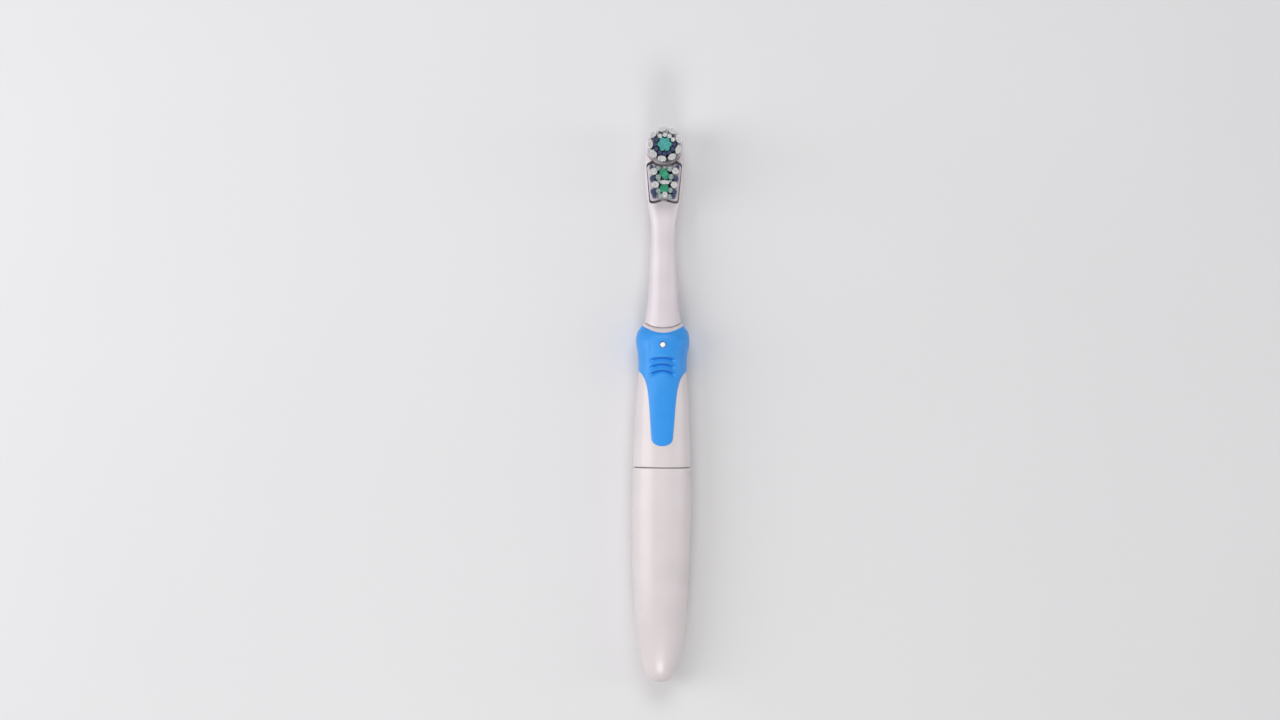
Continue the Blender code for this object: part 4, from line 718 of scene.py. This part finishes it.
# Hairs stand close together in a round or oblong hole; each leans a little and ends at its own height
def plantTuft(bm, shadeLayer, x, station, radius, height, fan=(0, 0), stretch=1, turn=0):
    step, rowStep = filament["spacing"], filament["spacing"] * 0.866
    stray, flare = filament["stray"], filament["flare"]
    farthest = brush["length"] - filament["tip"] - 0.01
    count = int(radius * stretch / rowStep) + 1
    for row in range(-count, count + 1):
        for column in range(-count, count + 1):
            dx = (column + 0.5 * (row % 2)) * step + random.uniform(-stray, stray)
            dy = row * rowStep + random.uniform(-stray, stray)
            along, across = dx * math.cos(turn) + dy * math.sin(turn), dy * math.cos(turn) - dx * math.sin(turn)
            if math.hypot(along / stretch, across) > radius:
                continue
            tipX = x + dx * flare + fan[0] + random.gauss(0, stray)
            tipY = min(station + dy * flare + fan[1] + random.gauss(0, stray), farthest)
            base = spot(x + dx, station + dy, filament["root"])
            tip = spot(tipX, tipY, height - abs(random.gauss(0, filament["uneven"])))
            run = tip - base
            place = Matrix.Translation((base + tip) / 2) @ run.to_track_quat("Z", "Y").to_matrix().to_4x4()
            made = bmesh.ops.create_cone(
                bm, cap_ends=True, segments=5, radius1=filament["radius"] * mm, radius2=filament["tip"] * mm,
                depth=run.length, matrix=place)["verts"]
            shade = min(max(0.5 + random.gauss(0, 0.2), 0), 1)
            for v in made:
                v[shadeLayer] = shade


def bristles(name, tufts, mat, body, slot, *replaced):
    bm = bmesh.new()
    shadeLayer = bm.verts.layers.float.new("shade")
    for tuft in tufts:
        plantTuft(bm, shadeLayer, *tuft)
    dress(toObject(name, bm, 60), mat, body, slot, *replaced)


def aroundHead(radius, degrees):
    return radius * math.sin(math.radians(degrees)), head["station"] + radius * math.cos(math.radians(degrees))


# Oblong outer tufts that lean out, most at the top, then a ring, white at the top, and a centre of seven
crown = {"outerCount": 9, "outerRadius": 5.7, "outerTuft": 1.08, "stretch": 1.5, "outerHeight": 13.25,
         "turn": 29.9, "fan": 0.04, "topFan": 0.085,
         "ringCount": 12, "ringRadius": 3.85, "ringTuft": 0.86, "ringHeight": 12.5, "whiteInRing": (0, 1, 2, 11),
         "centreCount": 6, "centreRadius": 1.85, "centreTuft": 1.05, "centreHeight": 12.7}
outer = []
for i in range(crown["outerCount"]):
    degrees = i * 360 / crown["outerCount"] + crown["turn"]
    x, s = aroundHead(crown["outerRadius"], degrees)
    fan = crown["fan"] + crown["topFan"] * max(math.cos(math.radians(degrees)), 0)
    outer.append((x, s, crown["outerTuft"], crown["outerHeight"], (fan * x, fan * (s - head["station"])),
                  crown["stretch"], -math.radians(degrees)))
whiteRing, navyRing = [], []
for i in range(crown["ringCount"]):
    x, s = aroundHead(crown["ringRadius"], i * 360 / crown["ringCount"])
    (whiteRing if i in crown["whiteInRing"] else navyRing).append((x, s, crown["ringTuft"], crown["ringHeight"]))
centre = [(0, head["station"], crown["centreTuft"], crown["centreHeight"])]
for i in range(crown["centreCount"]):
    x, s = aroundHead(crown["centreRadius"], i * 360 / crown["centreCount"] + 30)
    centre.append((x, s, crown["centreTuft"], crown["centreHeight"]))
bristles("roundOuterTufts", outer + whiteRing, whiteNylon, "round_head", "white_bristle", "round_outer_bristles")
bristles("roundRingTufts", navyRing, navyNylon, "round_head", "blue_bristle", "round_ring_bristles")
bristles("roundCenterTufts", centre, tealNylon, "round_head", "green_bristle", "round_center_bristles")

# Tufts of the lower pad: x, station, radius and height of each
padTufts = {
    "white": ((-4.3, 208.3, 1.3, 13.25), (4.4, 208.5, 1.25, 13.25), (-3.6, 203.0, 1.32, 13.25),
              (3.9, 203.0, 1.28, 13.25), (0.3, 199.1, 1.05, 13.0), (0.2, 204.0, 0.85, 12.9),
              (-0.9, 204.0, 0.75, 12.9), (1.3, 204.0, 0.75, 12.9)),
    "navy": ((-4.8, 205.6, 1.0, 12.5), (4.7, 205.6, 1.0, 12.5), (-4.5, 200.4, 1.0, 12.3),
             (-3.9, 198.8, 0.9, 12.1), (4.2, 200.3, 0.92, 12.3), (3.8, 198.6, 0.85, 12.1),
             (-5.3, 210.4, 0.75, 12.1), (5.3, 210.4, 0.75, 12.1)),
    "green": ((-0.4, 207.9, 1.55, 12.6), (0.5, 206.6, 1.45, 12.6), (0.0, 201.4, 1.75, 12.6)),
    # pale: short teal tufts, greyed with painted shade
    "pale": ((-2.5, 206.2, 1.05, 11.8), (2.7, 206.3, 1.05, 11.8), (-2.4, 200.6, 1.0, 11.8),
             (2.5, 200.8, 1.0, 11.8), (2.2, 209.4, 0.95, 11.7), (-2.6, 209.6, 0.9, 11.7),
             (-1.7, 198.7, 0.85, 11.7), (2.3, 198.5, 0.75, 11.7), (0.1, 210.0, 0.6, 11.7),
             (-2.1, 204.7, 0.6, 11.7), (2.5, 204.6, 0.6, 11.7)),
}
bristles("lowerWhiteTufts", padTufts["white"], whiteNylon, "push_rod", "white_bristle", "lower_side_bristles")
bristles("lowerNavyTufts", padTufts["navy"], navyNylon, "push_rod", "blue_bristle")
bristles("lowerGreenTufts", padTufts["green"], greenNylon, "push_rod", "green_bristle", "lower_center_bristles")
bristles("lowerPaleTufts", padTufts["pale"], paleNylonPaintedShade, "push_rod", "green_bristle")
print("bristles planted")

# cell and cradle, which show when the cover is off

cell = {
    "radius": 7.25, "start": 34.0, "end": 83.3, "sides": 72,
    # how far in and how far along the wrap's curl is at each end
    "curl": ((0.85, 0.0), (0.5, 0.04), (0.24, 0.14), (0.08, 0.32), (0.0, 0.6)),
    # station and radius
    "band": ((70.0, 7.2), (70.04, 7.28), (82.4, 7.28), (82.44, 7.2)),
}
start, end = cell["start"], cell["end"]
rings = [roundRing(start + 0.2, 0), roundRing(start + 0.2, 5.9), roundRing(start, 6.15)]
rings += [roundRing(start + along, cell["radius"] - across) for across, along in cell["curl"]]
rings += [roundRing(end - along, cell["radius"] - across) for across, along in reversed(cell["curl"])]
rings += [roundRing(end, 6.15), roundRing(end - 0.15, 5.9), roundRing(end - 0.15, 3.2)]
rings += [roundRing(end - 1.2, 3.05), roundRing(end - 1.2, 0)]
dress(loftRings("cellBody", rings, cell["sides"]), cellWrap, "handle", "cell_can", "battery_can")
rings = [roundRing(s, r) for s, r in cell["band"]]
dress(loftRings("cellBand", rings, cell["sides"]), cellBandGray, "handle", "cell_can")

cradle = {
    "start": 25.0, "outer": 8.4, "inner": 7.55, "floor": 26.3, "web": 85.5, "sides": 72,
    "ribs": (40.0, 52.0, 64.0, 76.0), "ribTop": 8.8, "ribHalf": (0.45, 0.6),
    # the collar that joins the handle's shells, held in from their outside by fit, with the seal's groove
    "collar": 83.5, "upper": 87.5, "end": 92.0, "fit": 1.7, "groove": (85.1, 86.8), "grooveFit": 2.6, "bore": 7.0,
    # left, right, start and end of the openings for the cell and for the contact strips
    "window": (-9.5, 9.5, cell["start"], 80.5),
    "slots": ((8.2, 12.0, 82.5, 93.0), (6.6, 9.4, 26.3, 27.3), (-5.5, -4.5, 84.5, 88.5)),
}
seal = {"station": 85.95, "inset": 2.075, "radius": 0.375}
outerRadius, fit = cradle["outer"], cradle["fit"]
crest, foot = cradle["ribHalf"]
rings = [roundRing(cradle["start"], 0), roundRing(cradle["start"], 7.9), roundRing(25.15, 8.25)]
rings += [roundRing(25.5, outerRadius)]
for rib in cradle["ribs"]:
    rings += [roundRing(rib - foot, outerRadius), roundRing(rib - crest, cradle["ribTop"])]
    rings += [roundRing(rib + crest, cradle["ribTop"]), roundRing(rib + foot, outerRadius)]
rings += [roundRing(cradle["collar"], outerRadius), handleRing(cradle["collar"], fit + 0.25)]
rings += [handleRing(cradle["collar"] + 0.2, fit)]
rings += [handleRing(cradle["groove"][0], fit), handleRing(cradle["groove"][0], cradle["grooveFit"])]
rings += [handleRing(cradle["groove"][1], cradle["grooveFit"]), handleRing(cradle["groove"][1], fit)]
rings += [handleRing(cradle["end"] - 0.3, fit), handleRing(cradle["end"], fit + 0.3)]
rings += [roundRing(cradle["end"], 7.2), roundRing(cradle["end"] - 0.2, cradle["bore"])]
rings += [roundRing(cradle["upper"], cradle["bore"]), roundRing(cradle["upper"], 0)]
cradleShell = loftRings("cellCradle", rings, cradle["sides"])
floorEnd, webEnd, inner = cradle["floor"], cradle["web"], cradle["inner"]
rings = [roundRing(floorEnd, 0), roundRing(floorEnd, inner), roundRing(webEnd, inner), roundRing(webEnd, 0)]
hollow = loftRings("hollow", rings, cradle["sides"])
window = prismOf("window", rectangle(*cradle["window"]), 2.0, 9.5, rim=0.4)
slots = [prismOf("slot", rectangle(*place), -1.8, 1.8) for place in cradle["slots"]]
carve(cradleShell, hollow, window, *slots)
dress(softenEdges(cradleShell, 0.12), grayCage, "handle", "gray_plastic", "battery_cage")
rings = [handleRing(seal["station"] + seal["radius"] * math.cos(a), seal["inset"] - seal["radius"] * math.sin(a))
         for a in [math.tau * i / 12 for i in range(12)]]
dress(loftRings("coverSealRing", rings, 96, joined=True), blackNitrile, "handle", "black_rubber", "cover_o_ring")
print("cell, cradle and seal made")

# the nodes inside, which keep their own shapes

inside = {
    grayCage: ("motor_end_cap", "motor_frame"),
    nickelSteel: ("battery_cap", "negative_spring", "motor_can", "motor_shaft", "crown_axle", "drive_shaft",
                  "round_head_pin"),
    springBrass: ("negative_strip", "positive_contact", "motor_terminal_left", "motor_terminal_right",
                  "switch_blade"),
    blackNitrile: ("shaft_seal",),
    naturalAcetal: ("pinion_gear", "crown_gear", "shaft_bush", "neck_bush", "push_rod"),
    paperBoard: ("switch_board",),
}
for mat, names in inside.items():
    for name in names:
        nodes[name].data.materials.clear()
        nodes[name].data.materials.append(mat)

# floor, light and camera

floorMat = startMaterial("studioFloor")
where = addNode(floorMat, "TexCoord").outputs["Object"]
haze = addNode(floorMat, "TexNoise", {"Vector": where, "Scale": 6.0, "Detail": 2.0})
ramp = addNode(floorMat, "ValToRGB", {"Fac": haze.outputs["Fac"]}, ((0.0, "#d8d8da"), (1.0, "#dcdcde")))
shader = addNode(floorMat, "BsdfPrincipled", {"Base Color": ramp.outputs["Color"], "Roughness": 0.6})
addNode(floorMat, "OutputMaterial", {"Surface": shader.outputs["BSDF"]})
bm = bmesh.new()
bmesh.ops.create_grid(bm, x_segments=8, y_segments=8, size=3.0)
floor = toObject("studioFloorSheet", bm)
floor.data.materials.append(floorMat)
floor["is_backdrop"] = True

studio = {
    # name: place, aimed at, width, height, power, colour
    "keyLeft": ((-0.85, 0.05, 0.6), (0, 0, 0), 0.5, 1.1, 5.8, "#fffdfe"),
    "fillRight": ((0.95, 0.05, 0.35), (0, 0, 0), 0.25, 1.0, 1.9, "#ffffff"),
    "overHead": ((0.0, 0.75, 1.0), (0, 0.05, 0), 0.8, 0.5, 5.2, "#ffffff"),
    "footLight": ((0.0, -0.75, 0.7), (0, -0.08, 0), 0.35, 0.3, 3.0, "#fffdf8"),
}
for name, (place, target, width, height, power, colour) in studio.items():
    lamp = bpy.data.lights.new(name, "AREA")
    lamp.shape = "RECTANGLE"
    lamp.size, lamp.size_y = width, height
    lamp.energy = power
    lamp.color = linear(colour)[:3]
    lampObject = bpy.data.objects.new(name, lamp)
    lampObject.location = place
    lampObject.rotation_euler = (Vector(target) - Vector(place)).to_track_quat("-Z", "Y").to_euler()
    bpy.context.scene.collection.objects.link(lampObject)
world = bpy.data.worlds.new("studioWorld")
world.use_nodes = True
background = world.node_tree.nodes["Background"]
background.inputs["Color"].default_value = linear("#e8e7e8")
background.inputs["Strength"].default_value = 0.4
bpy.context.scene.world = world

# The camera looks straight down from distance, and width is what it takes in at the drive axis
view = {"x": -9.25, "y": 18.3, "distance": 1100.0, "width": 524.4, "roll": 0.48, "sensor": 36}
cameraData = bpy.data.cameras.new("photoCamera")
cameraData.sensor_width = view["sensor"]
cameraData.lens = view["sensor"] * view["distance"] / view["width"]
cameraData.clip_start, cameraData.clip_end = 0.01, 20  # metres
camera = bpy.data.objects.new("photoCamera", cameraData)
camera.location = Vector((view["x"], view["y"], view["distance"] + brush["axisHeight"])) * mm
camera.rotation_euler = (0, 0, math.radians(view["roll"]))
bpy.context.scene.collection.objects.link(camera)
bpy.context.scene.camera = camera
bpy.context.scene.view_settings.view_transform = "Standard"
print("floor, light and camera placed")

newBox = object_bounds()
for name, box in (("cad box", cadBox), ("visual box", newBox)):
    print(name, [round(v / mm, 2) for c in box for v in c])
